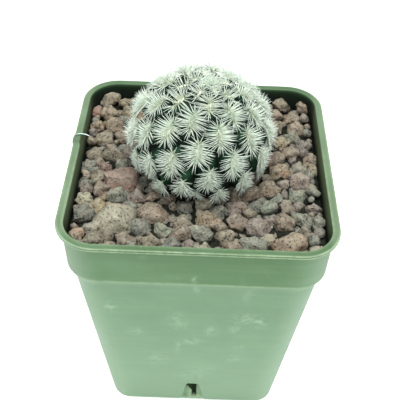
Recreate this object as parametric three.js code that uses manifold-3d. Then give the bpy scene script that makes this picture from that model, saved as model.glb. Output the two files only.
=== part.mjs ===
// A round, white-spined cactus in a square plastic nursery pot with a gravel top dressing.
// Millimetres, +Z up. The origin is the middle of the pot's foot, on the surface it stands on.
// -Y is the front. Three pieces: the pot, the gravel that fills it, and the plant with its root.

import * as THREE from 'three';
import { ConvexGeometry } from 'three/addons/geometries/ConvexGeometry.js';
import { mergeVertices } from 'three/addons/utils/BufferGeometryUtils.js';
import Module from 'manifold-3d';

const wasm = await Module();
wasm.setup();

// ---- driving dimensions -------------------------------------------------------------------

// The pot, a 7 x 7 x 8 cm square nursery pot: half widths, corner radii and heights.
const POT_HEIGHT = 79;
const RIM_HALF = 35;
const RIM_CORNER = 10;
const LIP_WIDTH = 2;
const LIP_THICKNESS = 1;
const LIP_EDGE_ROUND = 0.2;
const COLLAR_TOP_HALF = 33.65;
const COLLAR_TOP_CORNER = 8.65;
const COLLAR_LOW_HALF = 33.3;
const COLLAR_LOW_CORNER = 8.5;
const COLLAR_LOW_Z = 65.6;
const STEP_MIDDLE_HALF = 32.9;
const STEP_MIDDLE_CORNER = 8.3;
const STEP_MIDDLE_Z = 65;
const STEP_Z = 64.4;
const BODY_TOP_HALF = 32.15;
const BODY_TOP_CORNER = 8.05;
const FOOT_HALF = 25.2;
const FOOT_CORNER = 6;
const FOOT_EDGE_ROUND = 0.5;
const WALL = 0.75;
const CORNER_STEPS = 5;

// The floor of the pot stands on a low foot ring, which is cut away at the four drains.
const FOOT_RING_HEIGHT = 0.7;
const FOOT_RING_WIDTH = 2;
const FLOOR_TOP = 1.7;

// A drain is a tapered pocket pressed into the middle of each side, deeper towards its top,
// with a slot in its back.
const DRAIN_LOW_WIDTH = 8;
const DRAIN_TOP_WIDTH = 3.6;
const DRAIN_TOP_Z = 10.6;
const DRAIN_LOW_DEPTH = 0.7;
const DRAIN_TOP_DEPTH = 3;
const DRAIN_WALL = 0.9;
const DRAIN_WALL_FOOT_Z = 1.2;
const SLOT_WIDTH = 1.2;
const SLOT_OFFSET = 0.6;
const SLOT_TOP_Z = 9.8;

// Clear space between the pieces that touch.
const GAP = 0.3;

// The gravel: a filled bed, and the stones that stand out of its top.
const BED_TOP = 73;
const STONE_SEED = 20471;
const FILLER_SIZES = [6.2, 5.4, 4.8, 4.2];
const TRIES_PER_SIZE = 700;
const PACKING = 0.8;
const STONE_REACH = 31.8;
const STONE_CORNER = 8;
// Shares of a stone's width: how far it stands out of the bed, and how uneven stones are.
const STONE_STAND_OUT = 0.46;
const LOWEST_STAND_OUT = 0.8;
const STAND_OUT_SPREAD = 0.5;
const WIDTH_SPREAD = 0.24;
const FLATTEST_STONE = 0.72;
const STONE_TURN = 0.8;
const REACH_TO_PLANT = 0.6;
const REACH_TO_WALL = 0.8;
const STONE_HALF_HEIGHT = 0.42;
const STONE_ROUGHNESS = 0.26;
const STONE_SWELL = 1.22;

// Stones that stand out in the top dressing: x, y, width along X and depth along Y.
const NOTED_STONES = [
  [-28, 31, 6.2, 4.6], [-23, 30, 4.8, 4.2], [-31, 25.5, 4.6, 4.6], [-27.5, 24.5, 5.4, 5],
  [-30.5, 18.5, 4.2, 4.4], [-27.5, 13.5, 6.4, 5.4], [-22.5, 14.5, 5.4, 5.6], [-30, 7, 4.4, 4.6],
  [-24.3, 7, 6.4, 5], [-31, 2, 4.2, 4.8], [-26.3, 1, 4, 4.4], [-21.3, -3.8, 8.9, 8.6],
  [-30.5, -6.5, 4.2, 4.6], [-26.5, -7.5, 4.6, 4.6], [-29.6, -12.5, 5, 4.4], [-16.5, -10.5, 5, 4.6],
  [-29.5, -18.5, 5.8, 5.4], [-21.3, -18.8, 11.4, 8.8], [-11.8, -16, 9.6, 6.4],
  [-9.3, -22, 5.4, 5], [-30, -25, 4.4, 4.4], [-25.5, -27, 6.6, 4.8], [-18.2, -26.5, 5.8, 5.4],
  [-12, -27, 5.8, 4.8], [-6, -27.5, 5.2, 4.4], [-4.3, -19.8, 4.8, 5.2], [-3.5, -14, 5.6, 3.8],
  [1.3, -17.6, 6, 5.4], [1.2, -23.4, 6.8, 4.6], [2.2, -28.8, 6.6, 4], [9.4, -12.8, 5.4, 4.4],
  [9.4, -19, 6.2, 6], [14.8, -12.6, 4.6, 4], [15.7, -20.6, 6.8, 5.4], [22.9, -13, 5.4, 4.4],
  [22.2, -18.6, 6, 5.6], [26.4, -7.7, 5.4, 5.2], [30, -12.4, 4.4, 4.6], [30.8, -18, 4.2, 4.4],
  [27.4, -22, 4.2, 4.2], [22.6, -26.4, 8.8, 6], [29.6, -28, 4.6, 3.8], [21.6, 1.6, 6.8, 5.6],
  [27, 3, 5.4, 5], [31, 7, 4.6, 5], [25.3, 10, 5, 4.8], [26.6, 17, 5.2, 5], [21.5, 22, 4.6, 6],
  [26.5, 25.5, 5.2, 5], [24, 31, 5.4, 4.6], [30.6, 30.3, 4.6, 4.6],
];

// The plant. Its areoles, the woolly cushions that carry the spines, lie on a flattened ball.
const PLANT_X = -0.2;
const PLANT_Y = 2;
const BALL_Z = 84.9;
const BALL_RADIUS = 17.7;
const BALL_HALF_HEIGHT = 16.6;
const LEAN_DEGREES = 6;
// They follow the golden angle: areole n is turned n times it and lies n steps down from the crown.
const GOLDEN_ANGLE = 137.508;
const FIRST_TURN = -9.5;
const STEP_DOWN = 2.1;
const STEP_SHRINK = 0.005;
const AREOLE_COUNT = 67;
const CROWN_AREOLES = 3;
const WIDEST_PLACE = 50;
// Each lies along the crest of a hatchet-shaped tubercle, with grooves of this depth between.
const GROOVE_DEPTH = 3.2;
const SHALLOWEST_GROOVE = 0.4;
const CROWN_WIDENING = 1.4;
const AREOLE_LENGTH = 3.6;
const CREST_RISE = 0.35;
const SMALLEST_AREOLE = 0.36;
// Past the last areole the spiral goes on without tubercles, drawn in by this much.
const SPIRAL_COUNT = 92;
const BARE_INSET = 2.6;

// Spines: three-sided needles, in a comb to both sides of each areole and one at each end.
const SPINE_SEED = 77;
const SPINE_LENGTH = 2.9;
const SPINE_RADIUS = 0.21;
const SPINE_ROOT_DEPTH = 0.9;
const SPINE_ROOT_SPREAD = 0.22;
const SPINE_RISE_DEGREES = 34;
const COMB_SPINES = 5;
const COMB_FAN = 0.95;
const END_SPINE_LEAN = 0.12;
// How uneven the spines of one comb are, as shares of their rise, fan and length.
const UNEVEN_RISE = 0.5;
const UNEVEN_FAN = 0.3;
const UNEVEN_LENGTH = 0.16;
const SHORTEST_SPINE_SHARE = 0.62;
const LOWEST_SPINE_TIP = 75.5;

// Below the ball the stem narrows into the tap root: radius and height, down to its tip.
const ROOT_PROFILE = [
  [12.1, 76.6], [11.9, 74.2], [10.2, 71.6], [6.6, 69], [4, 66], [3.1, 58], [2, 46], [1, 37],
];
const ROOT_TOP_Z = 79;
const ROOT_TIP_Z = 35.5;
const ROOT_SIDES = 24;
// Round the plant the stones stay below its lowest spines.
const SPINE_SKIRT_RADIUS = 19.5;
const STONES_UNDER_SPINES = 75.1;

// ---- shared helpers -----------------------------------------------------------------------

const radians = THREE.MathUtils.degToRad;

// Even draws from 0 to 1, the same ones on every run.
function drawsFrom(seed) {
  let state = seed >>> 0;
  return () => {
    state = (Math.imul(state, 1664525) + 1013904223) >>> 0;
    return state / 4294967296;
  };
}

// Turns a closed geometry into a solid that can be joined and cut.
function solidFrom(geometry) {
  const bare = geometry.clone();
  bare.deleteAttribute('normal');
  bare.deleteAttribute('uv');
  const merged = mergeVertices(bare, 1e-4);
  const mesh = new wasm.Mesh({
    numProp: 3,
    vertProperties: new Float32Array(merged.attributes.position.array),
    triVerts: new Uint32Array(merged.index.array),
  });
  return new wasm.Manifold(mesh);
}

// Turns a solid back into a named mesh with its own material.
function meshFrom(solid, name, material) {
  const made = solid.getMesh();
  const geometry = new THREE.BufferGeometry();
  geometry.setAttribute('position', new THREE.BufferAttribute(made.vertProperties, 3));
  geometry.setIndex(new THREE.BufferAttribute(made.triVerts, 1));
  geometry.computeVertexNormals();
  const mesh = new THREE.Mesh(geometry, material);
  mesh.name = name;
  return mesh;
}

// A closed solid through a stack of rings of points, each ring seen anticlockwise from above.
// Rings go upwards when `upwards` is true and downwards otherwise; both ends close on a point.
function stackOfRings(rings, firstPoint, lastPoint, upwards) {
  const count = rings[0].length;
  const points = [firstPoint, ...rings.flat(), lastPoint];
  const last = points.length - 1;
  const at = (ring, k) => 1 + ring * count + (k % count);
  const faces = [];
  const addFace = (a, b, c) => faces.push(...(upwards ? [a, b, c] : [a, c, b]));
  for (let k = 0; k < count; k++) {
    addFace(0, at(0, k + 1), at(0, k));
    addFace(last, at(rings.length - 1, k), at(rings.length - 1, k + 1));
    for (let ring = 0; ring < rings.length - 1; ring++) {
      addFace(at(ring, k), at(ring, k + 1), at(ring + 1, k));
      addFace(at(ring, k + 1), at(ring + 1, k + 1), at(ring + 1, k));
    }
  }
  const geometry = new THREE.BufferGeometry().setFromPoints(points);
  geometry.setIndex(faces);
  return geometry;
}

// A square ring with round corners at height z.
function squareRing(half, corner, z) {
  const ring = [];
  for (let quarter = 0; quarter < 4; quarter++) {
    const start = quarter * Math.PI / 2;
    const sideX = quarter === 0 || quarter === 3 ? 1 : -1;
    const sideY = quarter < 2 ? 1 : -1;
    for (let step = 0; step <= CORNER_STEPS; step++) {
      const angle = start + step / CORNER_STEPS * Math.PI / 2;
      ring.push(new THREE.Vector3(
        sideX * (half - corner) + corner * Math.cos(angle),
        sideY * (half - corner) + corner * Math.sin(angle),
        z,
      ));
    }
  }
  return ring;
}

// A round-cornered square solid through a list of [half width, corner radius, height].
function squareLoft(levels) {
  const rings = levels.map(([half, corner, z]) => squareRing(half, corner, z));
  const foot = new THREE.Vector3(0, 0, levels[0][2]);
  const head = new THREE.Vector3(0, 0, levels[levels.length - 1][2]);
  return solidFrom(stackOfRings(rings, foot, head, true));
}

// A round ring about the plant's upright axis.
function roundRing(radius, z) {
  const ring = [];
  for (let k = 0; k < ROOT_SIDES; k++) {
    const angle = k / ROOT_SIDES * 2 * Math.PI;
    const x = PLANT_X + radius * Math.cos(angle);
    ring.push(new THREE.Vector3(x, PLANT_Y + radius * Math.sin(angle), z));
  }
  return ring;
}

// ---- the pot ------------------------------------------------------------------------------

// The pot's own outline, drawn in by `inset`: [half width, corner radius, height] going up.
function potLevels(inset) {
  const level = (half, corner, z) => [half - inset, corner - inset, z];
  return [
    level(FOOT_HALF, FOOT_CORNER, 0),
    level(BODY_TOP_HALF, BODY_TOP_CORNER, STEP_Z),
    level(STEP_MIDDLE_HALF, STEP_MIDDLE_CORNER, STEP_MIDDLE_Z),
    level(COLLAR_LOW_HALF, COLLAR_LOW_CORNER, COLLAR_LOW_Z),
    level(COLLAR_TOP_HALF, COLLAR_TOP_CORNER, POT_HEIGHT - LIP_THICKNESS),
  ];
}

// The half width of the pot's outline at a height on its tapered body.
function bodyHalfAt(z) {
  return FOOT_HALF + (BODY_TOP_HALF - FOOT_HALF) * z / STEP_Z;
}

// The space inside the walls, drawn in by `clearance`, from `bottom` up to `top`.
function insideLevels(clearance, bottom, top) {
  const levels = potLevels(WALL + clearance);
  const middle = levels.slice(1, -1);
  const low = bodyHalfAt(bottom) - WALL - clearance;
  const topHalf = levels[levels.length - 1][0];
  const topCorner = levels[levels.length - 1][1];
  return [[low, FOOT_CORNER - WALL - clearance, bottom], ...middle, [topHalf, topCorner, top]];
}

// A tapered block at the foot of the front side, grown by `margin`, whose back leans inwards.
function drainBlock(margin, bottom) {
  const outside = 2;
  const corners = [];
  const addRow = (width, z, depth) => {
    for (const x of [-width / 2 - margin, width / 2 + margin]) {
      corners.push(new THREE.Vector3(x, -FOOT_HALF - outside, z));
      corners.push(new THREE.Vector3(x, -FOOT_HALF + depth + margin, z));
    }
  };
  addRow(DRAIN_LOW_WIDTH, bottom, DRAIN_LOW_DEPTH);
  addRow(DRAIN_TOP_WIDTH, DRAIN_TOP_Z + margin, DRAIN_TOP_DEPTH);
  return new ConvexGeometry(corners);
}

// The same block on all four sides, as one solid.
function onFourSides(block) {
  const copies = [];
  for (let side = 0; side < 4; side++) {
    const copy = block.clone();
    copy.rotateZ(side * Math.PI / 2);
    copies.push(solidFrom(copy));
  }
  return wasm.Manifold.union(copies);
}

function buildPot() {
  const bodyLevels = potLevels(0).slice(1);
  const lipLow = POT_HEIGHT - LIP_THICKNESS;
  const outside = squareLoft([
    [FOOT_HALF - FOOT_EDGE_ROUND, FOOT_CORNER - FOOT_EDGE_ROUND, 0],
    [bodyHalfAt(FOOT_EDGE_ROUND), FOOT_CORNER, FOOT_EDGE_ROUND],
    ...bodyLevels,
    [RIM_HALF, RIM_CORNER, lipLow + LIP_EDGE_ROUND],
    [RIM_HALF, RIM_CORNER, POT_HEIGHT - LIP_EDGE_ROUND],
    [RIM_HALF - LIP_EDGE_ROUND, RIM_CORNER - LIP_EDGE_ROUND, POT_HEIGHT],
  ]);
  const mouthHalf = RIM_HALF - LIP_WIDTH;
  const mouthCorner = RIM_CORNER - LIP_WIDTH;
  const inside = squareLoft([
    ...insideLevels(0, FLOOR_TOP, lipLow),
    [mouthHalf, mouthCorner, POT_HEIGHT + 1],
  ]);
  const underFloor = squareLoft([
    [FOOT_HALF - FOOT_RING_WIDTH, FOOT_CORNER - FOOT_RING_WIDTH, -1],
    [FOOT_HALF - FOOT_RING_WIDTH, FOOT_CORNER - FOOT_RING_WIDTH, FOOT_RING_HEIGHT],
  ]);

  // The pockets' own walls stand inside the pot, then the pockets and the slots are cut out.
  const walls = onFourSides(drainBlock(DRAIN_WALL, DRAIN_WALL_FOOT_Z));
  const pockets = onFourSides(drainBlock(0, FLOOR_TOP));
  const slotHeight = SLOT_TOP_Z - FLOOR_TOP;
  const slotReach = DRAIN_TOP_DEPTH + 2 * DRAIN_WALL;
  const slotBlock = new THREE.BoxGeometry(SLOT_WIDTH, slotReach, slotHeight);
  slotBlock.translate(SLOT_OFFSET, -FOOT_HALF + slotReach / 2, FLOOR_TOP + slotHeight / 2);
  const notchBlock = new THREE.BoxGeometry(DRAIN_LOW_WIDTH, 8, 2 * FOOT_RING_HEIGHT);
  notchBlock.translate(0, -FOOT_HALF, 0);

  return outside
    .subtract(inside)
    .add(walls.intersect(outside))
    .subtract(pockets)
    .subtract(onFourSides(slotBlock))
    .subtract(underFloor)
    .subtract(onFourSides(notchBlock));
}

// ---- the gravel ---------------------------------------------------------------------------

// How far a point lies inside the round-cornered square that the stones keep to.
function roomToWall(x, y) {
  const overX = Math.abs(x) - (STONE_REACH - STONE_CORNER);
  const overY = Math.abs(y) - (STONE_REACH - STONE_CORNER);
  const outside = Math.hypot(Math.max(overX, 0), Math.max(overY, 0));
  return STONE_CORNER - outside - Math.min(Math.max(overX, overY), 0);
}

// The noted stones, then smaller and smaller ones wherever they still find room.
function spreadStones() {
  const draw = drawsFrom(STONE_SEED);
  const stones = NOTED_STONES.map(([x, y, wide, deep]) => ({ x, y, wide, deep }));
  for (const size of FILLER_SIZES) {
    for (let go = 0; go < TRIES_PER_SIZE; go++) {
      const x = (draw() * 2 - 1) * STONE_REACH;
      const y = (draw() * 2 - 1) * STONE_REACH;
      const wide = size * (1 + WIDTH_SPREAD * (draw() - 0.5));
      const deep = wide * (FLATTEST_STONE + (1 - FLATTEST_STONE) * draw());
      const reach = (wide + deep) / 4;
      const toPlant = Math.hypot(x - PLANT_X, y - PLANT_Y);
      const clearOfPlant = toPlant > ROOT_PROFILE[0][0] + reach * REACH_TO_PLANT;
      const clearOfWall = roomToWall(x, y) > reach * REACH_TO_WALL;
      const clearOfStones = stones.every((other) => {
        const needed = PACKING * (reach + (other.wide + other.deep) / 4);
        return Math.hypot(x - other.x, y - other.y) > needed;
      });
      if (clearOfPlant && clearOfWall && clearOfStones) stones.push({ x, y, wide, deep });
    }
  }
  return stones;
}

// One stone: an icosahedron with uneven corners, turned, and sunk well into the bed.
function stoneSolid(stone, draw) {
  const geometry = new THREE.IcosahedronGeometry(1, 0);
  geometry.deleteAttribute('normal');
  geometry.deleteAttribute('uv');
  const shape = mergeVertices(geometry, 1e-4);
  const corners = shape.attributes.position;
  const half = (stone.wide + stone.deep) / 2 * STONE_HALF_HEIGHT;
  for (let k = 0; k < corners.count; k++) {
    const swell = STONE_SWELL * (1 + STONE_ROUGHNESS * (draw() - 0.5));
    corners.setXYZ(
      k,
      corners.getX(k) * swell * stone.wide / 2,
      corners.getY(k) * swell * stone.deep / 2,
      corners.getZ(k) * swell * half,
    );
  }
  shape.rotateZ((draw() - 0.5) * STONE_TURN);
  const unevenness = LOWEST_STAND_OUT + STAND_OUT_SPREAD * draw();
  let top = BED_TOP + Math.min(stone.wide, stone.deep) * STONE_STAND_OUT * unevenness;
  const toPlant = Math.hypot(stone.x - PLANT_X, stone.y - PLANT_Y);
  const reach = Math.max(stone.wide, stone.deep) / 2;
  if (toPlant - reach < SPINE_SKIRT_RADIUS) top = Math.min(top, STONES_UNDER_SPINES);
  shape.computeBoundingBox();
  shape.translate(stone.x, stone.y, top - shape.boundingBox.max.z);
  return solidFrom(shape);
}

function buildGravel() {
  const bottom = FLOOR_TOP + GAP;
  const bed = squareLoft(insideLevels(GAP, bottom, BED_TOP));
  const draw = drawsFrom(STONE_SEED + 1);
  const stones = spreadStones().map((stone) => stoneSolid(stone, draw));
  const room = squareLoft(insideLevels(GAP, bottom, POT_HEIGHT - LIP_THICKNESS));
  const drainRoom = onFourSides(drainBlock(DRAIN_WALL + GAP, DRAIN_WALL_FOOT_Z));

  // The plain hole that the plant's root stands in, and clear air under its lowest spines.
  const skirtFoot = STONES_UNDER_SPINES + 0.1;
  const buried = ROOT_PROFILE.filter(([, z]) => z < skirtFoot).reverse();
  const rings = [
    ...buried.map(([radius, z]) => roundRing(radius + GAP, z - GAP / 2)),
    roundRing(ROOT_PROFILE[0][0] + GAP, skirtFoot),
    roundRing(SPINE_SKIRT_RADIUS, skirtFoot),
    roundRing(SPINE_SKIRT_RADIUS, POT_HEIGHT + 1),
  ];
  const holeFoot = new THREE.Vector3(PLANT_X, PLANT_Y, ROOT_TIP_Z - GAP);
  const holeHead = new THREE.Vector3(PLANT_X, PLANT_Y, POT_HEIGHT + 1);
  const hole = solidFrom(stackOfRings(rings, holeFoot, holeHead, true));

  return wasm.Manifold.union([bed, ...stones])
    .intersect(room)
    .subtract(drainRoom)
    .subtract(hole);
}

// ---- the plant ----------------------------------------------------------------------------

const ballCentre = new THREE.Vector3(PLANT_X, PLANT_Y, BALL_Z);
const lean = new THREE.Matrix4().makeRotationY(radians(LEAN_DEGREES));

// How far the ball's surface lies from its centre in a direction, drawn in by `inset`.
function ballReach(direction, inset) {
  const across = Math.hypot(direction.x, direction.y) / (BALL_RADIUS - inset);
  const up = direction.z / (BALL_HALF_HEIGHT - inset);
  return 1 / Math.hypot(across, up);
}

// A place on the spiral: direction, the ways to the side and down, and relative size.
function spiralPlace(n) {
  const polar = radians(STEP_DOWN * n - STEP_SHRINK * n * n);
  const turn = radians(FIRST_TURN - GOLDEN_ANGLE * n);
  const direction = new THREE.Vector3(
    Math.sin(polar) * Math.sin(turn),
    -Math.sin(polar) * Math.cos(turn),
    Math.cos(polar),
  );
  const side = new THREE.Vector3(Math.cos(turn), Math.sin(turn), 0);
  const down = new THREE.Vector3(
    Math.cos(polar) * Math.sin(turn),
    -Math.cos(polar) * Math.cos(turn),
    -Math.sin(polar),
  );
  for (const way of [direction, side, down]) way.applyMatrix4(lean);
  // The cell of one place is as wide as its share of the ring and as tall as the spiral's step.
  const step = STEP_DOWN - 2 * STEP_SHRINK * n;
  const widestCell = STEP_DOWN - 2 * STEP_SHRINK * WIDEST_PLACE;
  const size = Math.sqrt(step * Math.sin(polar) / widestCell);
  return { direction, side, down, size: THREE.MathUtils.clamp(size, SMALLEST_AREOLE, 1) };
}

const spiral = [];
for (let n = CROWN_AREOLES; n < SPIRAL_COUNT; n++) spiral.push(spiralPlace(n));
const areoles = spiral.slice(0, AREOLE_COUNT - CROWN_AREOLES);
const barePlaces = spiral.slice(AREOLE_COUNT - CROWN_AREOLES);

// A point `along` mm down from an areole's middle, `rise` mm above the ball.
function crestPoint(areole, along, rise) {
  const direction = areole.direction.clone().addScaledVector(areole.down, along / BALL_RADIUS);
  direction.normalize();
  return direction.multiplyScalar(ballReach(direction, -rise)).add(ballCentre);
}

// Where three neighbouring places meet lies the bottom of a groove.
function grooveDirections() {
  const faces = new ConvexGeometry(spiral.map((place) => place.direction)).attributes.position;
  const directions = [];
  for (let corner = 0; corner < faces.count; corner += 3) {
    const [a, b, c] = [0, 1, 2].map((k) => new THREE.Vector3().fromBufferAttribute(faces, corner + k));
    directions.push(b.sub(a).cross(c.sub(a)).normalize());
  }
  return directions;
}

// The ball of the stem. Crest and groove points are joined as their directions lie on a sphere,
// and each is then moved out to its own distance from the ball's centre.
function ballSolid() {
  const skin = [];
  for (const areole of areoles) {
    const reach = AREOLE_LENGTH * areole.size / 2;
    skin.push(crestPoint(areole, -reach, 0));
    skin.push(crestPoint(areole, 0, CREST_RISE));
    skin.push(crestPoint(areole, reach, 0));
  }
  const drawnIn = (direction, inset) =>
    direction.clone().multiplyScalar(ballReach(direction, inset)).add(ballCentre);
  for (const place of barePlaces) skin.push(drawnIn(place.direction, BARE_INSET));
  for (const direction of grooveDirections()) {
    const fromCrown = CROWN_WIDENING * Math.hypot(direction.x, direction.y);
    const crownShare = THREE.MathUtils.clamp(fromCrown, SHALLOWEST_GROOVE, 1);
    skin.push(drawnIn(direction, GROOVE_DEPTH * crownShare));
  }
  const directions = skin.map((point) => point.clone().sub(ballCentre).normalize());
  const joined = new ConvexGeometry(directions).attributes.position;
  const nearest = (direction) => {
    let best = 0;
    directions.forEach((other, k) => {
      if (other.dot(direction) > directions[best].dot(direction)) best = k;
    });
    return skin[best];
  };
  const corners = [];
  for (let k = 0; k < joined.count; k++) {
    corners.push(nearest(new THREE.Vector3().fromBufferAttribute(joined, k)));
  }
  return solidFrom(new THREE.BufferGeometry().setFromPoints(corners));
}

// The lower stem and the tap root, turned about the upright axis.
function rootSolid() {
  const rings = ROOT_PROFILE.map(([radius, z]) => roundRing(radius, z));
  const top = new THREE.Vector3(PLANT_X, PLANT_Y, ROOT_TOP_Z);
  const tip = new THREE.Vector3(PLANT_X, PLANT_Y, ROOT_TIP_Z);
  return solidFrom(stackOfRings(rings, top, tip, false));
}

// A three-sided needle from a root inside the tubercle to its tip.
function needleSolid(root, tip) {
  const needle = new THREE.ConeGeometry(SPINE_RADIUS, 1, 3, 1);
  needle.translate(0, 0.5, 0);
  const way = tip.clone().sub(root);
  needle.scale(1, way.length(), 1);
  const turn = new THREE.Quaternion().setFromUnitVectors(new THREE.Vector3(0, 1, 0), way.normalize());
  needle.applyQuaternion(turn);
  needle.translate(root.x, root.y, root.z);
  return solidFrom(needle);
}

// The comb of one areole: spines to both sides, fanned from up to down, and one at each end.
function combOf(areole, draw) {
  const needles = [];
  const uneven = (amount) => 1 + amount * (draw() - 0.5);
  const addNeedle = (share, toSide, toDown) => {
    const crest = crestPoint(areole, share * AREOLE_LENGTH * areole.size / 2, CREST_RISE / 2);
    const rise = Math.tan(radians(SPINE_RISE_DEGREES * uneven(UNEVEN_RISE)));
    const way = new THREE.Vector3()
      .addScaledVector(areole.side, toSide)
      .addScaledVector(areole.down, toDown * uneven(UNEVEN_FAN))
      .normalize()
      .addScaledVector(areole.direction, rise)
      .normalize();
    const length = SPINE_LENGTH * Math.max(areole.size, SHORTEST_SPINE_SHARE) * uneven(UNEVEN_LENGTH);
    const root = crest.clone()
      .addScaledVector(areole.direction, -SPINE_ROOT_DEPTH * areole.size)
      .addScaledVector(areole.side, SPINE_ROOT_SPREAD * areole.size * toSide);
    const tip = crest.addScaledVector(way, length);
    tip.z = Math.max(tip.z, LOWEST_SPINE_TIP);
    needles.push(needleSolid(root, tip));
  };
  for (let k = 0; k < COMB_SPINES; k++) {
    const share = (k + 0.5) / COMB_SPINES * 2 - 1;
    for (const toSide of [-1, 1]) addNeedle(share, toSide, share * COMB_FAN);
  }
  addNeedle(-COMB_FAN, END_SPINE_LEAN, -1);
  addNeedle(COMB_FAN, -END_SPINE_LEAN, 1);
  return needles;
}

function buildPlant() {
  const draw = drawsFrom(SPINE_SEED);
  const needles = areoles.flatMap((areole) => combOf(areole, draw));
  return wasm.Manifold.union([ballSolid(), rootSolid(), ...needles]);
}

// ---- the assembled object -----------------------------------------------------------------

const potPlastic = new THREE.MeshStandardMaterial({ color: 0x8cb08c, roughness: 0.55, metalness: 0 });
const stone = new THREE.MeshStandardMaterial({ color: 0x8a7468, roughness: 0.95, metalness: 0 });
const spinyStem = new THREE.MeshStandardMaterial({ color: 0xcfd8c0, roughness: 0.7, metalness: 0 });

const pottedCactus = new THREE.Group();
pottedCactus.name = 'potted_cactus';
pottedCactus.add(meshFrom(buildPot(), 'pot', potPlastic));
pottedCactus.add(meshFrom(buildGravel(), 'gravel', stone));
pottedCactus.add(meshFrom(buildPlant(), 'cactus', spinyStem));

export default pottedCactus;
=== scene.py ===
"""A round, white-spined cactus in a square plastic nursery pot with a gravel top dressing.

Shapes are worked out in millimetres and turned into metres when a mesh is made. +Z is up, -Y is the
front, and the origin is the middle of the pot's foot, on the surface that it stands on. Materials
measure in metres, and their colours are given as red, green and blue.
"""

import math

import bpy
import numpy as np
from mathutils import Matrix, Vector


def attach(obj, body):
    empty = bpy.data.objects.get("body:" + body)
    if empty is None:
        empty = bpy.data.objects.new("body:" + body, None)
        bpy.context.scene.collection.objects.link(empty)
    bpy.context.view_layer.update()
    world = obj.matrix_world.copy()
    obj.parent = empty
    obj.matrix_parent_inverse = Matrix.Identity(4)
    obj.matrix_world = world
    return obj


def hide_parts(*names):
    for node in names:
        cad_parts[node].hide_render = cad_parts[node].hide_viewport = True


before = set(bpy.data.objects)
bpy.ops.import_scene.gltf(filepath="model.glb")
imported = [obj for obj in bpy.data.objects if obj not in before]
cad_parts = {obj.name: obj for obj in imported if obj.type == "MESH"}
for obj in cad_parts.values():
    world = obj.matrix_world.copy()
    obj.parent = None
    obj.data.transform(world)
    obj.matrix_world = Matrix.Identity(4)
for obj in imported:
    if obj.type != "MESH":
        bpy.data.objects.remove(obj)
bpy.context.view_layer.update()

MM = 0.001

# ---- camera -----------------------------------------------------------------------------------

LENS_MM, SENSOR_MM = 66.6, 36.0
CAMERA_AT = (0.000266, -0.152608, 0.207411)
CAMERA_PITCH, CAMERA_ROLL = 0.757, 0.037
NEAREST_SEEN, FARTHEST_SEEN = 0.01, 20.0


def set_camera():
    """A level camera facing +Y, tipped down by the pitch, then turned about its sight line by the roll."""
    data = bpy.data.cameras.new("camera")
    data.sensor_width = SENSOR_MM
    data.lens = LENS_MM
    data.clip_start = NEAREST_SEEN
    data.clip_end = FARTHEST_SEEN
    forward = np.array([0.0, math.cos(CAMERA_PITCH), -math.sin(CAMERA_PITCH)])
    right = np.array([1.0, 0.0, 0.0])
    up = np.cross(right, forward)
    turn = np.eye(4)
    turn[:3, 0] = math.cos(CAMERA_ROLL) * right + math.sin(CAMERA_ROLL) * up
    turn[:3, 1] = math.cos(CAMERA_ROLL) * up - math.sin(CAMERA_ROLL) * right
    turn[:3, 2] = -forward
    turn[:3, 3] = CAMERA_AT
    camera = bpy.data.objects.new("camera", data)
    camera.matrix_world = Matrix(turn.tolist())
    bpy.context.scene.collection.objects.link(camera)
    bpy.context.scene.camera = camera


set_camera()

# ---- sizes, in millimetres, the same as the solids' -------------------------------------------

# The pot. A level is a half width, a corner radius and a height.
POT_HEIGHT = 79.0
RIM_HALF, RIM_CORNER = 35.0, 10.0
LIP_THICKNESS = 1.0
COLLAR_TOP = (33.65, 8.65, 78.0)
COLLAR_LOW = (33.3, 8.5, 65.6)
STEP_MIDDLE = (32.9, 8.3, 65.0)
BODY_TOP = (32.15, 8.05, 64.4)
FOOT_HALF, FOOT_CORNER, FOOT_EDGE_ROUND = 25.2, 6.0, 0.5
WALL = 0.75
FOOT_RING_HEIGHT, FOOT_RING_WIDTH = 0.7, 2.0
FLOOR_TOP = 1.7
DRAIN_LOW_HALF, DRAIN_TOP_HALF, DRAIN_TOP_Z = 4.0, 1.8, 10.6
DRAIN_LOW_DEPTH, DRAIN_TOP_DEPTH, DRAIN_WALL = 0.7, 3.0, 0.9
SLOT_AT, SLOT_HALF, SLOT_TOP_Z, SLOT_EXTRA = 0.6, 0.6, 9.8, 0.7
GAP = 0.3

# The stones. Shares of a stone's width tell how far it stands out and how uneven stones are.
BED_TOP = 73.0
STONE_SEED = 20471
FILLER_SIZES = (6.2, 5.4, 4.8, 4.2)
TRIES_PER_SIZE = 700
PACKING = 0.8
STONE_REACH, STONE_CORNER = 31.8, 8.0
STONE_STAND_OUT, LOWEST_STAND_OUT, STAND_OUT_SPREAD = 0.46, 0.8, 0.5
WIDTH_SPREAD, FLATTEST_STONE, STONE_TURN = 0.24, 0.72, 0.8
REACH_TO_PLANT, REACH_TO_WALL = 0.6, 0.8
STONE_HALF_HEIGHT, STONE_ROUGHNESS, STONE_SWELL = 0.42, 0.26, 1.22
SPINE_SKIRT_RADIUS, STONES_UNDER_SPINES = 19.5, 75.1

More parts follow.
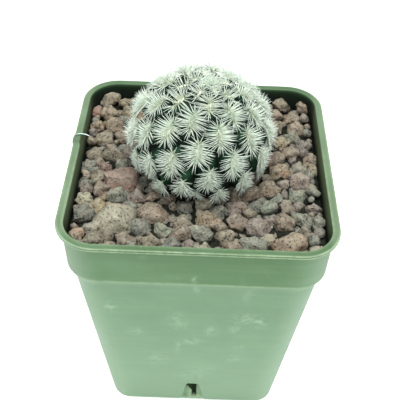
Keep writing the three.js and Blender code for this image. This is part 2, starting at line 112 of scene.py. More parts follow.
# Stones that stand out: x, y, width along X, depth along Y, and the kind of rock.
NOTED_STONES = (
    (-28, 31, 6.2, 4.6, "tan"), (-23, 30, 4.8, 4.2, "tan"), (-31, 25.5, 4.6, 4.6, "red"),
    (-27.5, 24.5, 5.4, 5, "pink"), (-30.5, 18.5, 4.2, 4.4, "pink"), (-27.5, 13.5, 6.4, 5.4, "tan"),
    (-22.5, 14.5, 5.4, 5.6, "pink"), (-30, 7, 4.4, 4.6, "tan"), (-24.3, 7, 6.4, 5, "tan"),
    (-31, 2, 4.2, 4.8, "grey"), (-26.3, 1, 4, 4.4, "red"), (-21.3, -3.8, 8.9, 8.6, "red"),
    (-30.5, -6.5, 4.2, 4.6, "grey"), (-26.5, -7.5, 4.6, 4.6, "pink"), (-29.6, -12.5, 5, 4.4, "beige"),
    (-16.5, -10.5, 5, 4.6, "mauve"), (-29.5, -18.5, 5.8, 5.4, "grey"), (-21.3, -18.8, 11.4, 8.8, "beige"),
    (-11.8, -16, 9.6, 6.4, "pink"), (-9.3, -22, 5.4, 5, "sage"), (-30, -25, 4.4, 4.4, "pink"),
    (-25.5, -27, 6.6, 4.8, "tan"), (-18.2, -26.5, 5.8, 5.4, "pink"), (-12, -27, 5.8, 4.8, "tan"),
    (-6, -27.5, 5.2, 4.4, "grey"), (-4.3, -19.8, 4.8, 5.2, "tan"), (-3.5, -14, 5.6, 3.8, "grey"),
    (1.3, -17.6, 6, 5.4, "tan"), (1.2, -23.4, 6.8, 4.6, "grey"), (2.2, -28.8, 6.6, 4, "beige"),
    (9.4, -12.8, 5.4, 4.4, "mauve"), (9.4, -19, 6.2, 6, "pink"), (14.8, -12.6, 4.6, 4, "grey"),
    (15.7, -20.6, 6.8, 5.4, "mauve"), (22.9, -13, 5.4, 4.4, "pink"), (22.2, -18.6, 6, 5.6, "pink"),
    (26.4, -7.7, 5.4, 5.2, "sage"), (30, -12.4, 4.4, 4.6, "mauve"), (30.8, -18, 4.2, 4.4, "grey"),
    (27.4, -22, 4.2, 4.2, "tan"), (22.6, -26.4, 8.8, 6, "pink"), (29.6, -28, 4.6, 3.8, "beige"),
    (21.6, 1.6, 6.8, 5.6, "pink"), (27, 3, 5.4, 5, "beige"), (31, 7, 4.6, 5, "pink"),
    (25.3, 10, 5, 4.8, "pink"), (26.6, 17, 5.2, 5, "grey"), (21.5, 22, 4.6, 6, "tan"),
    (26.5, 25.5, 5.2, 5, "pink"), (24, 31, 5.4, 4.6, "tan"), (30.6, 30.3, 4.6, 4.6, "pink"),
)

# Stones that stand higher than their size would put them: number in the list above, and by how much.
LIFTED_STONES = ((11, 1.7), (0, 1.2), (1, 1.5), (3, 0.9), (49, 0.8), (50, 1.0))

# The plant: a flattened ball round this point, with areoles on a golden-angle spiral.
PLANT = np.array([-0.2, 2.0, 84.9])
BALL_RADIUS, BALL_HALF_HEIGHT = 17.7, 16.6
LEAN_DEGREES = 6.0
GOLDEN_ANGLE, FIRST_TURN = 137.508, -9.5
STEP_DOWN, STEP_SHRINK = 2.1, 0.005
AREOLE_COUNT, WIDEST_PLACE, SPIRAL_COUNT = 67, 50, 92
GROOVE_DEPTH, SHALLOWEST_GROOVE, CROWN_WIDENING = 3.2, 0.4, 1.4
BARE_INSET = 2.6
AREOLE_LENGTH, CREST_RISE = 3.6, 0.35
SMALLEST_AREOLE = 0.36
# The lower stem and the tap root: radius and height, going down.
ROOT_PROFILE = (
    (12.1, 76.6), (11.9, 74.2), (10.2, 71.6), (6.6, 69.0),
    (4.0, 66.0), (3.1, 58.0), (2.0, 46.0), (1.0, 37.0),
)
ROOT_TOP_Z, ROOT_TIP_Z = 79.0, 35.5

# ---- shared mesh helpers ----------------------------------------------------------------------

# Cosine and sine of no turn, a quarter, a half and three quarters of a full turn.
QUARTER_TURNS = ((1, 0), (0, 1), (-1, 0), (0, -1))
WAVE_COUNT = 7


def draws_from(seed):
    """Even draws from 0 to 1: the state times 1664525, plus 1013904223, modulo 2 to the 32."""
    state = seed

    def draw():
        nonlocal state
        state = (state * 1664525 + 1013904223) & 0xFFFFFFFF
        return state / 4294967296

    return draw


def smooth(share):
    """The share held between 0 and 1, then 3 times its square less twice its cube."""
    held = np.clip(share, 0.0, 1.0)
    return held * held * (3.0 - 2.0 * held)


def rising(value, start, over):
    """A smooth change from 0 to 1: it starts where the value is start and is done when it is over more."""
    return smooth((value - start) / over)


def waves(points, wavelength, seed):
    """Uneven hills, mostly from -1 to 1: a sum of sines along random ways, near one wavelength, with random
    phases, over twice the root of half their number."""
    rng = np.random.default_rng(seed)
    ways = rng.normal(size=(3, WAVE_COUNT))
    ways /= np.linalg.norm(ways, axis=0)
    ways *= 2.0 * np.pi / (wavelength * rng.uniform(0.7, 1.4, WAVE_COUNT))
    hills = np.sin(points @ ways + rng.uniform(0.0, 2.0 * np.pi, WAVE_COUNT))
    return hills.sum(-1) / math.sqrt(WAVE_COUNT / 2.0) / 2.0


def hills(points, sizes):
    """Waves of several sizes added up: for each one its wavelength, its seed and its height."""
    return sum(waves(points, wavelength, seed) * height for wavelength, seed, height in sizes)


def unit(ways):
    """The same ways with a length of 1."""
    return ways / np.linalg.norm(ways, axis=-1, keepdims=True)


def full_turn(count):
    """Angles at even steps round a full turn."""
    return np.linspace(0.0, 2.0 * np.pi, count, endpoint=False)


def turned(points, cos, sin):
    """Points turned about the upright axis by the angle of a cosine and a sine."""
    x, y, z = points[..., 0], points[..., 1], points[..., 2]
    return np.stack([x * cos - y * sin, x * sin + y * cos, z], -1)


def round_plant(radius, angle, z):
    """Points at a radius and an angle about the plant's upright axis, at a height."""
    x = PLANT[0] + radius * np.cos(angle)
    y = PLANT[1] + radius * np.sin(angle)
    return np.stack([x, y, np.broadcast_to(z, x.shape)], -1)


def with_poles(values, first, last):
    """One value for every point of a skin's rings, then those of its two poles."""
    return np.concatenate([values.ravel(), [first, last]])


def ring_faces(rows, columns):
    """Quads between neighbouring rows of a grid whose columns close on themselves."""
    row, column = np.meshgrid(np.arange(rows - 1), np.arange(columns), indexing="ij")
    after = (column + 1) % columns
    low, high = row * columns, (row + 1) * columns
    return np.stack([low + column, low + after, high + after, high + column], -1).reshape(-1, 4)


def closed_skin(rings, first_pole, last_pole):
    """Points and faces of rings, rows by columns by 3, closed at both poles. The columns go anticlockwise
    seen from the last pole's end."""
    rows, columns = rings.shape[:2]
    points = np.concatenate([rings.reshape(-1, 3), [first_pole], [last_pole]])
    foot, head = rows * columns, rows * columns + 1
    here = np.arange(columns)
    after = (here + 1) % columns
    last = (rows - 1) * columns
    foot_fan = np.stack([np.full(columns, foot), after, here], -1)
    head_fan = np.stack([np.full(columns, head), last + here, last + after], -1)
    return points, [ring_faces(rows, columns), np.concatenate([foot_fan, head_fan])]


def repeated_faces(faces, count, each):
    """The same faces for every one of a count of shapes that have each this many points."""
    starts = (np.arange(count) * each)[:, None, None]
    return (starts + faces).reshape(-1, faces.shape[1])


def many_skins(rings, first_poles, last_poles):
    """The same as closed_skin for a stack of shapes: rings are shapes by rows by columns by 3."""
    shapes, rows, columns = rings.shape[:3]
    each = rows * columns + 2
    points = np.concatenate([rings.reshape(shapes, -1, 3), first_poles[:, None], last_poles[:, None]], 1)
    faces = closed_skin(rings[0], first_poles[0], last_poles[0])[1]
    return points.reshape(-1, 3), [repeated_faces(part, shapes, each) for part in faces]


def add_piece(name, points, faces, material, node, attributes=None):
    """A mesh of points in millimetres and lists of faces, on the root body, standing for a node."""
    mesh = bpy.data.meshes.new(name)
    corners = np.concatenate([part.ravel() for part in faces]).astype(np.int32)
    sizes = np.concatenate([np.full(len(part), part.shape[1]) for part in faces])
    starts = np.concatenate([[0], np.cumsum(sizes)[:-1]]).astype(np.int32)
    mesh.vertices.add(len(points))
    mesh.vertices.foreach_set("co", (points * MM).astype(np.float32).ravel())
    mesh.loops.add(len(corners))
    mesh.loops.foreach_set("vertex_index", corners)
    mesh.polygons.add(len(sizes))
    mesh.polygons.foreach_set("loop_start", starts)
    mesh.polygons.foreach_set("use_smooth", np.ones(len(sizes), bool))
    mesh.update(calc_edges=True)
    for key, values in (attributes or {}).items():
        layer = mesh.attributes.new(key, "FLOAT", "POINT")
        layer.data.foreach_set("value", np.ascontiguousarray(values, np.float32).ravel())
    mesh.materials.append(material)
    piece = bpy.data.objects.new(name, mesh)
    bpy.context.scene.collection.objects.link(piece)
    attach(piece, "root")
    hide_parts(node)


# ---- node helpers and the shared group --------------------------------------------------------


class Nodes:
    """Short calls that place nodes in a tree and join them."""

    def __init__(self, tree):
        self.tree = tree

    def add(self, kind, inputs=None, **settings):
        """A node with its settings and its inputs."""
        node = self.tree.nodes.new(kind)
        for key, value in settings.items():
            setattr(node, key, value)
        for key, value in (inputs or {}).items():
            self.put(node.inputs[key], value)
        return node

    def put(self, socket, value):
        """A socket is joined to another one, or set to a number, a vector, or a colour."""
        if isinstance(value, bpy.types.NodeSocket):
            self.tree.links.new(value, socket)
        elif socket.type == "RGBA":
            socket.default_value = (*value, 1.0)
        else:
            socket.default_value = value

    def math(self, operation, first, second=0.0, clamp=False):
        inputs = {0: first, 1: second}
        return self.add("ShaderNodeMath", inputs, operation=operation, use_clamp=clamp).outputs[0]

    def times(self, first, second):
        return self.math("MULTIPLY", first, second)

    def plus(self, first, second):
        return self.math("ADD", first, second)

    def mix(self, share, first, second):
        """The first colour where the share is 0, the second where it is 1."""
        inputs = {"Factor": share, 6: first, 7: second}
        return self.add("ShaderNodeMix", inputs, data_type="RGBA").outputs[2]

    def spread(self, value, low, high, to_low=0.0, to_high=1.0):
        """A smooth change from to_low, where the value is low, to to_high, where it is high."""
        inputs = {"Value": value, "From Min": low, "From Max": high, "To Min": to_low, "To Max": to_high}
        return self.add("ShaderNodeMapRange", inputs, interpolation_type="SMOOTHSTEP").outputs[0]

    def noise(self, where, scale, detail=3.0, roughness=0.55, distortion=0.0):
        inputs = {"Vector": where, "Scale": scale, "Detail": detail, "Roughness": roughness}
        return self.add("ShaderNodeTexNoise", {**inputs, "Distortion": distortion}).outputs[0]

    def place(self):
        return self.add("ShaderNodeTexCoord").outputs["Object"]

    def axes(self, where):
        return self.add("ShaderNodeSeparateXYZ", {"Vector": where}).outputs

    def painted(self, name):
        return self.add("ShaderNodeAttribute", attribute_name=name).outputs["Fac"]

    def grain(self, where, grain_mm, pores):
        """Tone, pores and height of a porous surface, from the shared group."""
        inputs = {"Position": where, "Grain mm": grain_mm, "Pores": pores}
        return self.add("ShaderNodeGroup", inputs, node_tree=POROUS_GRAIN).outputs


def new_group(name, inputs, outputs):
    """A shader node group with named sockets: its tree, its input node and its output node."""
    tree = bpy.data.node_groups.new(name, "ShaderNodeTree")
    for direction, sockets in (("INPUT", inputs), ("OUTPUT", outputs)):
        for socket, kind in sockets:
            tree.interface.new_socket(socket, in_out=direction, socket_type="NodeSocket" + kind)
    return tree, tree.nodes.new("NodeGroupInput").outputs, tree.nodes.new("NodeGroupOutput").inputs


def porous_grain():
    """Grain of a porous surface, of a size in millimetres: uneven tone, open pores and both's height."""
    sockets = [("Position", "Vector"), ("Grain mm", "Float"), ("Pores", "Float")]
    results = [("Tone", "Float"), ("Pores", "Float"), ("Height", "Float")]
    tree, given, result = new_group("porous_grain", sockets, results)
    n = Nodes(tree)
    where = given["Position"]
    scale = n.math("DIVIDE", 1.0 / MM, given["Grain mm"])
    coarse = n.noise(where, n.times(scale, 0.3), 4.0, 0.6)
    fine = n.noise(where, scale, 4.0, 0.7)
    cells = n.add("ShaderNodeTexVoronoi", {"Vector": where, "Scale": scale, "Randomness": 1.0})
    ragged = n.plus(cells.outputs["Distance"], n.times(n.math("SUBTRACT", fine, 0.5), 1.1))
    hole = n.times(n.spread(ragged, 0.34, 0.14), n.spread(coarse, 0.6, 0.42, 0.25, 1.0))
    pores = n.math("MULTIPLY", hole, given["Pores"], clamp=True)
    tone = n.plus(n.times(coarse, 0.45), n.times(fine, 0.55))
    n.put(result["Tone"], tone)
    n.put(result["Pores"], pores)
    n.put(result["Height"], n.math("SUBTRACT", tone, pores))
    return tree


POROUS_GRAIN = porous_grain()


def new_material(name):
    """An empty material with its Principled shader: the material, its node helper and its shader."""
    material = bpy.data.materials.new(name)
    material.use_nodes = True
    return material, Nodes(material.node_tree), material.node_tree.nodes["Principled BSDF"]


def set_surface(n, shader, colour, roughness, specular=0.5):
    """The shader's colour and roughness, from sockets or plain values, and its specular level, a number."""
    n.put(shader.inputs["Base Color"], colour)
    n.put(shader.inputs["Roughness"], roughness)
    shader.inputs["Specular IOR Level"].default_value = specular


def set_bump(n, shader, height, distance_mm, strength):
    """Bump from a height between 0 and 1, over a distance in millimetres."""
    bump = n.add("ShaderNodeBump", {"Height": height, "Distance": distance_mm * MM, "Strength": strength})
    n.put(shader.inputs["Normal"], bump.outputs[0])


def shaded(colour, share):
    """A colour with every part of it taken by a share."""
    return tuple(part * share for part in colour)


# ---- the pot ----------------------------------------------------------------------------------

# Columns of the skin along one side: near the drain, from there to the corner, and in the corner.
DRAIN_COLUMN_REACH, DRAIN_COLUMN_STEP = 5.5, 0.25
SIDE_COLUMNS, CORNER_COLUMNS = 20, 9
# Rings lie close together from the foot up to this height, past the drains, and farther apart above it.
DRAIN_ROWS_TOP, OUTER_ROW_STEP, INNER_ROW_STEP = 12.2, 0.2, 0.5
BODY_ROWS, COLLAR_ROWS, INNER_BODY_ROWS, INNER_COLLAR_ROWS = 22, 10, 14, 8
# How softly the drain's outline ends outside, inside and in the bed, and how much more at its cheeks.
DRAIN_SOFTNESS, INNER_DRAIN_SOFTNESS, BED_DRAIN_SOFTNESS = 0.7, 0.5, 0.4
LEFT_CHEEK, RIGHT_CHEEK = 3.0, 1.6
INNER_DRAIN_INSET = 0.1
# The top of the even part inside: its corner radius and its height.
INNER_BODY_CORNER, INNER_BODY_Z = 7.2, 63.0
# The step under the collar, and the ends of the collar's even part.
STEP_LEVELS = (
    BODY_TOP, (32.3, 8.1, 64.55), (32.62, 8.2, 64.75), STEP_MIDDLE, (33.18, 8.42, 65.25), COLLAR_LOW,
)
COLLAR_FROM, COLLAR_TO = (33.32, 8.51, 66.2), (33.64, 8.64, 77.6)
# The lip's outside going up: how far a ring lies in from the rim, and below the rim's top.
LIP_OUTSIDE = (
    (1.36, 1.3), (1.25, 1.06), (0.8, 1.0), (0.2, 1.0), (0.06, 0.94), (0.0, 0.8), (0.0, 0.66), (0.0, 0.4),
    (0.0, 0.24), (0.07, 0.07), (0.24, 0.0),
)
# The lip's flat top and inner edge going in: the same, then how far its colour is the inside's painted
# shade, and how strong the painted highlight along its inner edge is.
LIP_INSIDE = (
    (0.6, 0.03, 0.0, 0.0), (1.2, 0.05, 0.0, 0.0), (1.8, 0.02, 0.0, 0.3), (1.96, 0.1, 0.15, 0.6),
    (2.02, 0.3, 0.6, 0.0),
)
# Heights of the outside's edges, and how pale they are: partly wear and partly painted highlight.
PALE_EDGES_WORN_AND_HIGHLIT = {
    COLLAR_LOW[2]: 0.5, STEP_MIDDLE[2]: 0.3, POT_HEIGHT - 0.94: 0.2, POT_HEIGHT - 0.8: 0.7,
    POT_HEIGHT - 0.66: 0.9, POT_HEIGHT - 0.07: 0.9, POT_HEIGHT: 0.35,
}
SAME_HEIGHT = 0.03
# The left lip's bend, where it was knocked: how far out and where along the side, and the nick across it.
KINK_SIDE_X = -30.0
KINK_BULGE, KINK_AT, KINK_REACH = 0.4, 6.2, 2.1
NICK_DEPTH, NICK_AT, NICK_REACH = 0.22, 8.6, 0.7
# Painted light and shade in a drain: painted shade in the hollow above a slanting line, and painted
# light on the cheek up its back and on the sill.
HOLLOW_Z, HOLLOW_AT, HOLLOW_SLANT = 5.3, -1.95, 1.24
CHEEK_AT, CHEEK_REACH, CHEEK_TOP_Z, CHEEK_PAINTED_LIGHT, RECESS_PAINTED_LIGHT = -0.6, 0.45, 4.2, 0.9, 0.35
SILL_AT, SILL_REACH, SILL_RISE, SILL_BAND = 0.9, 2.4, 0.05, 0.2
# The sides get a painted glow towards their corners, and the painted highlight on the inner edge fades
# towards the back.
PAINTED_GLOW_FROM, PAINTED_GLOW_OVER = 0.66, 0.34
INNER_HIGHLIGHT_BACK_Y, INNER_HIGHLIGHT_FADE = 14.0, 24.0


def drain_narrowing(z):
    """How the drain's width shrinks upwards: from 1 at the foot to its top width over its low width."""
    share = np.clip(z / DRAIN_TOP_Z, 0.0, 1.0)
    return 1.0 + share * (DRAIN_TOP_HALF / DRAIN_LOW_HALF - 1.0)


def pot_rings(levels, depth_shift):
    """Rings of a round-cornered square, one for each level of half width, corner radius and height.

    A column's place along a side is its own number of millimetres near the drain, times the narrowing,
    and an even share of the rest up to the corner; then a quarter turn of the corner radius.
    depth_shift(along, z, half) gives the half width and height that replace the plain ones. The other
    three sides are quarter turns of the first. The rings come back as rows by columns by 3.
    """
    half, corner, z = [np.asarray(column, float)[:, None] for column in zip(*levels)]
    straight = half - corner
    middle = np.arange(-DRAIN_COLUMN_REACH, DRAIN_COLUMN_REACH + 1e-6, DRAIN_COLUMN_STEP)
    near = middle * drain_narrowing(z)
    edge = near[:, -1:]
    right = edge + (straight - edge) * np.linspace(0.0, 1.0, SIDE_COLUMNS + 1)[1:]
    along = np.concatenate([-right[:, ::-1], near, right], 1)
    away, height = depth_shift(along, np.broadcast_to(z, along.shape), np.broadcast_to(half, along.shape))
    angle = np.linspace(0.0, np.pi / 2.0, CORNER_COLUMNS + 2)[1:-1]
    corner_x = straight + corner * np.sin(angle)
    corner_y = -straight - corner * np.cos(angle)
    round_part = np.stack([corner_x, corner_y, np.broadcast_to(z, corner_x.shape)], -1)
    side = np.concatenate([np.stack([along, -away, height], -1), round_part], 1)
    return np.concatenate([turned(side, cos, sin) for cos, sin in QUARTER_TURNS], 1)


def drain_mask(along, z, margin, softness):
    """1 inside the drain's tapered outline grown by a margin, else 0; its cheeks are soft, the left more."""
    low_half = DRAIN_LOW_HALF * drain_narrowing(z) + margin
    cheek = np.where(along < 0, softness * LEFT_CHEEK, softness * RIGHT_CHEEK) * drain_narrowing(z)
    beside = smooth((low_half - np.abs(along)) / cheek)
    under = smooth((DRAIN_TOP_Z + margin - z) / softness)
    over = smooth((z - FLOOR_TOP + margin) / 0.2)
    return beside * under * over


def drain_depth(z):
    """The drain's back leans inwards: its depth changes evenly from its sill to its top."""
    share = np.clip((z - FLOOR_TOP) / (DRAIN_TOP_Z - FLOOR_TOP), 0.0, 1.0)
    return DRAIN_LOW_DEPTH + (DRAIN_TOP_DEPTH - DRAIN_LOW_DEPTH) * share


def slot_mask(along, z, margin):
    """1 inside the slot in the drain's back, grown by a margin."""
    beside = smooth((SLOT_HALF + margin - np.abs(along - SLOT_AT)) / 0.2)
    return beside * smooth((SLOT_TOP_Z + margin - z) / 0.3) * smooth((z - FLOOR_TOP) / 0.2)


def outer_drains(along, z, half):
    """The outer wall: drawn in to the drain's back, deeper in its slot, lifted at the foot ring's gap."""
    inside = drain_mask(along, z, 0.0, DRAIN_SOFTNESS)
    back = FOOT_HALF - drain_depth(z) - SLOT_EXTRA * slot_mask(along, z, 0.0)
    gap = smooth((DRAIN_LOW_HALF - np.abs(along)) / 0.3)
    return half + (back - half) * inside, np.maximum(z, FOOT_RING_HEIGHT * gap)


def inner_drains(along, z, half):
    """The inner wall: drawn in round the drain's own wall."""
    inside = drain_mask(along, z, DRAIN_WALL, INNER_DRAIN_SOFTNESS)
    back = FOOT_HALF - drain_depth(z) - DRAIN_WALL - INNER_DRAIN_INSET
    return half + (back - half) * inside, z


def body_half(z):
    """The half width of the tapered body: an even change from the foot to the body's top."""
    return FOOT_HALF + (BODY_TOP[0] - FOOT_HALF) * z / BODY_TOP[2]


def body_corner(z):
    """The corner radius of the tapered body, changing in the same way."""
    return FOOT_CORNER + (BODY_TOP[1] - FOOT_CORNER) * z / BODY_TOP[2]


def drawn_in(level, inset):
    """A level whose half width and corner radius are less by an inset."""
    return level[0] - inset, level[1] - inset, level[2]


def levels_between(low, high, count):
    """Levels at even steps from low to just below high."""
    shares = np.arange(count)[:, None] / count
    return (np.array(low) + (np.array(high) - np.array(low)) * shares).tolist()


def outer_levels():
    """The pot's outline: under its floor, round its foot ring and up its outside to the lip's top."""
    ring_half, ring_corner = FOOT_HALF - FOOT_RING_WIDTH, FOOT_CORNER - FOOT_RING_WIDTH
    under = [
        drawn_in((ring_half, ring_corner, FOOT_RING_HEIGHT), 0.6),
        (ring_half, ring_corner, FOOT_RING_HEIGHT),
        (ring_half, ring_corner, 0.0),
    ]
    foot = [
        drawn_in((FOOT_HALF, FOOT_CORNER, 0.0), FOOT_EDGE_ROUND),
        drawn_in((FOOT_HALF, FOOT_CORNER, 0.12), 0.15),
        (body_half(0.35), FOOT_CORNER, 0.35),
    ]
    low_body = [(body_half(z), body_corner(z), z) for z in np.arange(0.7, DRAIN_ROWS_TOP, OUTER_ROW_STEP)]
    body = levels_between(low_body.pop(), BODY_TOP, BODY_ROWS)
    collar = levels_between(COLLAR_FROM, COLLAR_TO, COLLAR_ROWS)
    lip = [drawn_in((RIM_HALF, RIM_CORNER, POT_HEIGHT - below), inset) for inset, below in LIP_OUTSIDE]
    return under + foot + low_body + body + list(STEP_LEVELS) + collar + lip


def inner_levels():
    """The lip's flat top, its inner edge, and the inside of the wall going down to the floor."""
    lip = [drawn_in((RIM_HALF, RIM_CORNER, POT_HEIGHT - row[1]), row[0]) for row in LIP_INSIDE]
    collar = levels_between(drawn_in(COLLAR_TOP, WALL), drawn_in(COLLAR_LOW, WALL), INNER_COLLAR_ROWS)
    step = [drawn_in(level, WALL) for level in (COLLAR_LOW, STEP_MIDDLE, BODY_TOP)]
    high = (body_half(INNER_BODY_Z) - WALL, INNER_BODY_CORNER, INNER_BODY_Z)
    low = (body_half(DRAIN_ROWS_TOP) - WALL, FOOT_CORNER, DRAIN_ROWS_TOP)
    body = levels_between(high, low, INNER_BODY_ROWS)
    heights = [*np.arange(DRAIN_ROWS_TOP, FLOOR_TOP - 0.01, -INNER_ROW_STEP), FLOOR_TOP]
    foot = [(body_half(z) - WALL, FOOT_CORNER - WALL, z) for z in heights]
    return lip + collar + step + body + foot


# Fine pale scratches and rubbed places on the front: x, z, width, height and strength.
NOTED_SCUFFS = (
    (-0.6, 36.8, 2.4, 1.1, 1.0), (17.4, 47.0, 2.0, 1.4, 0.85), (13.6, 48.6, 3.0, 2.2, 0.5),
    (12.8, 32.6, 2.4, 0.9, 0.75), (-22.3, 52.6, 1.3, 1.8, 0.7), (11.0, 43.6, 1.8, 1.4, 0.6),
    (-5.0, 48.4, 2.2, 1.6, 0.5), (-4.0, 44.4, 3.4, 1.2, 0.5), (4.6, 42.0, 1.8, 1.8, 0.6),
    (-16.2, 40.3, 2.0, 0.6, 0.6), (-4.4, 33.0, 0.8, 2.6, 0.5), (11.6, 27.4, 2.4, 1.4, 0.5),
    (-10.5, 26.0, 3.6, 3.0, 0.3), (3.5, 20.0, 3.6, 2.0, 0.3), (11.4, 58.5, 0.22, 6.0, 0.7),
    (0.2, 16.0, 5.0, 2.2, 0.35), (-0.3, 67.5, 0.7, 0.9, 0.8), (-13.2, 75.1, 0.45, 0.35, 1.0),
    (0.2, 62.4, 0.9, 0.9, 0.6), (13.4, 60.0, 1.2, 2.6, 0.35),
)
# The other sides' scuffs are drawn between these limits, in the same order.
SCUFF_SEED, SCUFFS_PER_SIDE = 31, 12
SCUFF_LIMITS = ((-22, 22), (12, 60), (0.8, 4), (0.6, 2), (0.3, 0.9))
SCUFFED_SIDE_Y = -20.0


def scuff_amount(points):
    """Rubbed places: round hills at the noted places on the front, random ones on the other sides."""
    rng = np.random.default_rng(SCUFF_SEED)
    amount = np.zeros(len(points))
    for side, (cos, sin) in enumerate(QUARTER_TURNS):
        x, y, z = turned(points, cos, -sin).T
        marks = NOTED_SCUFFS
        if side:
            marks = zip(*[rng.uniform(low, high, SCUFFS_PER_SIDE) for low, high in SCUFF_LIMITS])
        for mark_x, mark_z, wide, high, strength in marks:
            far = ((x - mark_x) / wide) ** 2 + ((z - mark_z) / high) ** 2
            amount = np.maximum(amount, np.where(y < SCUFFED_SIDE_Y, strength * np.exp(-far), 0.0))
    return amount


def outside_plastic(n, where, axes, flow_cloud):
    """The colour outside: painted light down the body, painted sheen and glow at its sides, with flow lines.
    """
    height, across = axes[2], n.math("ABSOLUTE", axes[0])
    # Painted light from the floor below and through the thin plastic: the body paler than the collar, paler
    # still at the foot.
    body = n.mix(n.spread(height, 0.064, 0.003), (0.12, 0.23, 0.124), (0.182, 0.305, 0.186))
    walls = n.mix(n.spread(height, 0.0643, 0.0655), body, (0.078, 0.172, 0.07))
    lip_green = n.mix(n.spread(across, 0.0315, 0.0335), (0.067, 0.128, 0.058), (0.118, 0.18, 0.103))
    lip = n.mix(n.spread(height, 0.0777, 0.0782), walls, lip_green)
    level = n.add("ShaderNodeVectorMath", {0: where, 1: (1.0, 1.0, 11.0)}, operation="MULTIPLY").outputs[0]
    flow = n.noise(level, 55.0, 3.0, 0.6)
    flowed = n.mix(n.spread(flow, 0.4, 0.7, 0.0, 0.05), lip, (0.3, 0.46, 0.3))
    clouded = n.mix(n.spread(flow_cloud, 0.35, 0.7, 0.0, 0.1), flowed, (0.42, 0.58, 0.42))
    # Painted sheen where the surface turns from the eye, and a painted glow towards the corners.
    away = n.add("ShaderNodeLayerWeight", {"Blend": 0.4}).outputs["Facing"]
    painted_sheen_and_glow = n.math("MAXIMUM", n.spread(away, 0.45, 1.0, 0.0, 0.5), n.times(n.painted("painted_glow"), 0.34))
    return n.mix(painted_sheen_and_glow, clouded, (0.34, 0.48, 0.35))


def worn_plastic(n, where, plain, scuff):
    """The outside's colour with pale specks, scratches, pale edges that are partly wear and partly painted
    highlight, and painted shade in the crease of the bent lip.
    """
    specks = n.spread(n.noise(where, 1700.0, 2.0, 0.6), 0.68, 0.78)
    speckled = n.mix(n.times(specks, 0.12), plain, (0.6, 0.72, 0.55))
    streaky = n.spread(n.noise(where, 620.0, 4.0, 0.7, 0.6), 0.36, 0.6)
    scuffed = n.mix(n.times(n.times(scuff, streaky), 0.7), speckled, (0.42, 0.58, 0.42))
    ragged_edge = n.spread(n.noise(where, 420.0, 4.0, 0.7), 0.36, 0.66, 0.45, 1.0)
    # The 'edge' attribute: pale worn edges, partly painted highlight, and the drains' painted light.
    edge_worn_and_highlit = n.mix(n.times(n.times(n.painted("edge"), ragged_edge), 0.8), scuffed, (0.4, 0.54, 0.32))
    # Painted shade in the crease of the bent lip.
    crease_shade = n.times(n.painted("kink"), n.spread(n.noise(where, 500.0), 0.3, 0.6, 0.2, 0.55))
    return n.mix(crease_shade, edge_worn_and_highlit, (0.05, 0.08, 0.05))


def inside_plastic(n, where, axes):
    """The colour inside: painted shade, nearly black and lighter just under the lip, with dirt, and painted
    light near the top of the two side walls.
    """
    height, across, deepways = axes[2], n.math("ABSOLUTE", axes[0]), n.math("ABSOLUTE", axes[1])
    dirt = n.spread(n.noise(where, 260.0, 4.0, 0.65), 0.4, 0.75, 0.0, 0.4)
    # Painted shade: nearly black inside, lighter just under the lip.
    deep = n.mix(n.spread(height, 0.0765, 0.0789), (0.001, 0.007, 0.002), (0.008, 0.034, 0.01))
    far_in = n.mix(n.spread(height, 0.012, 0.014), (0.006, 0.02, 0.002), deep)
    # Painted light near the top of the two side walls, away from the front and back.
    lit = n.times(n.spread(across, 0.0295, 0.0325), n.spread(height, 0.0725, 0.0775, 0.0, 0.85))
    lit = n.times(lit, n.spread(deepways, 0.029, 0.021))
    return n.mix(lit, n.mix(dirt, far_in, (0.008, 0.024, 0.007)), (0.125, 0.17, 0.085))


def pot_plastic():
    """Slightly translucent green plastic, rubbed and scratched outside, with painted shade inside."""
    material, n, shader = new_material("pot_plastic")
    where = n.place()
    axes = n.axes(where)
    inside, scuff = n.painted("inside"), n.painted("scuff")
    cloud = n.noise(where, 70.0, 3.0, 0.5)
    outside = worn_plastic(n, where, outside_plastic(n, where, axes, cloud), scuff)
    matt = n.spread(n.plus(cloud, n.times(scuff, 0.4)), 0.3, 0.8, 0.45, 0.65)
    roughness = n.math("MAXIMUM", matt, n.times(inside, 0.8))
    # The 'inside' attribute mixes in the inside's painted shade, and the drains' painted shade outside.
    set_surface(n, shader, n.mix(inside, outside, inside_plastic(n, where, axes)), roughness, 0.3)
    ripple = n.noise(where, 160.0, 2.0, 0.5)
    grain = n.noise(where, 2600.0, 2.0, 0.6)
    set_bump(n, shader, n.plus(ripple, n.times(grain, 0.12)), 0.12, 0.5)
    return material


def rim_kink(rings):
    """The left lip is bent out a little: a hill along it, only on the lip and on that side."""
    on_lip = smooth((rings[..., 2] - (POT_HEIGHT - LIP_THICKNESS - 1.2)) / 1.2)
    on_left = rings[..., 0] < KINK_SIDE_X
    return on_lip * on_left * np.exp(-(((rings[..., 1] - KINK_AT) / KINK_REACH) ** 4))


def rim_nick(rings):
    """Across the bent lip runs a fine nick."""
    return (rings[..., 0] < KINK_SIDE_X) * np.exp(-(((rings[..., 1] - NICK_AT) / NICK_REACH) ** 2))


def clear_flash():
    """Pale, glassy stray plastic at the nick in the lip."""
    material, n, shader = new_material("clear_flash")
    streak = n.noise(n.place(), 1800.0, 3.0, 0.6)
    film = n.mix(n.spread(streak, 0.35, 0.65), (0.26, 0.42, 0.33), (0.42, 0.58, 0.5))
    colour = n.mix(n.spread(n.painted("along"), 0.45, 0.85), film, (0.8, 0.9, 0.88))
    set_surface(n, shader, colour, n.spread(streak, 0.3, 0.7, 0.12, 0.3))
    shader.inputs["Coat Weight"].default_value = 0.5
    set_bump(n, shader, streak, 0.05, 0.4)
    return material


FLASH_START, FLASH_END = np.array([-35.1, 7.7, 78.95]), np.array([-30.8, 8.2, 78.2])
FLASH_RISE, FLASH_RADIUS = 0.7, 0.2
FLASH_WIDENING, FLASH_FLATTENING = 1.3, 0.7
FLASH_ROWS, FLASH_COLUMNS = 24, 8


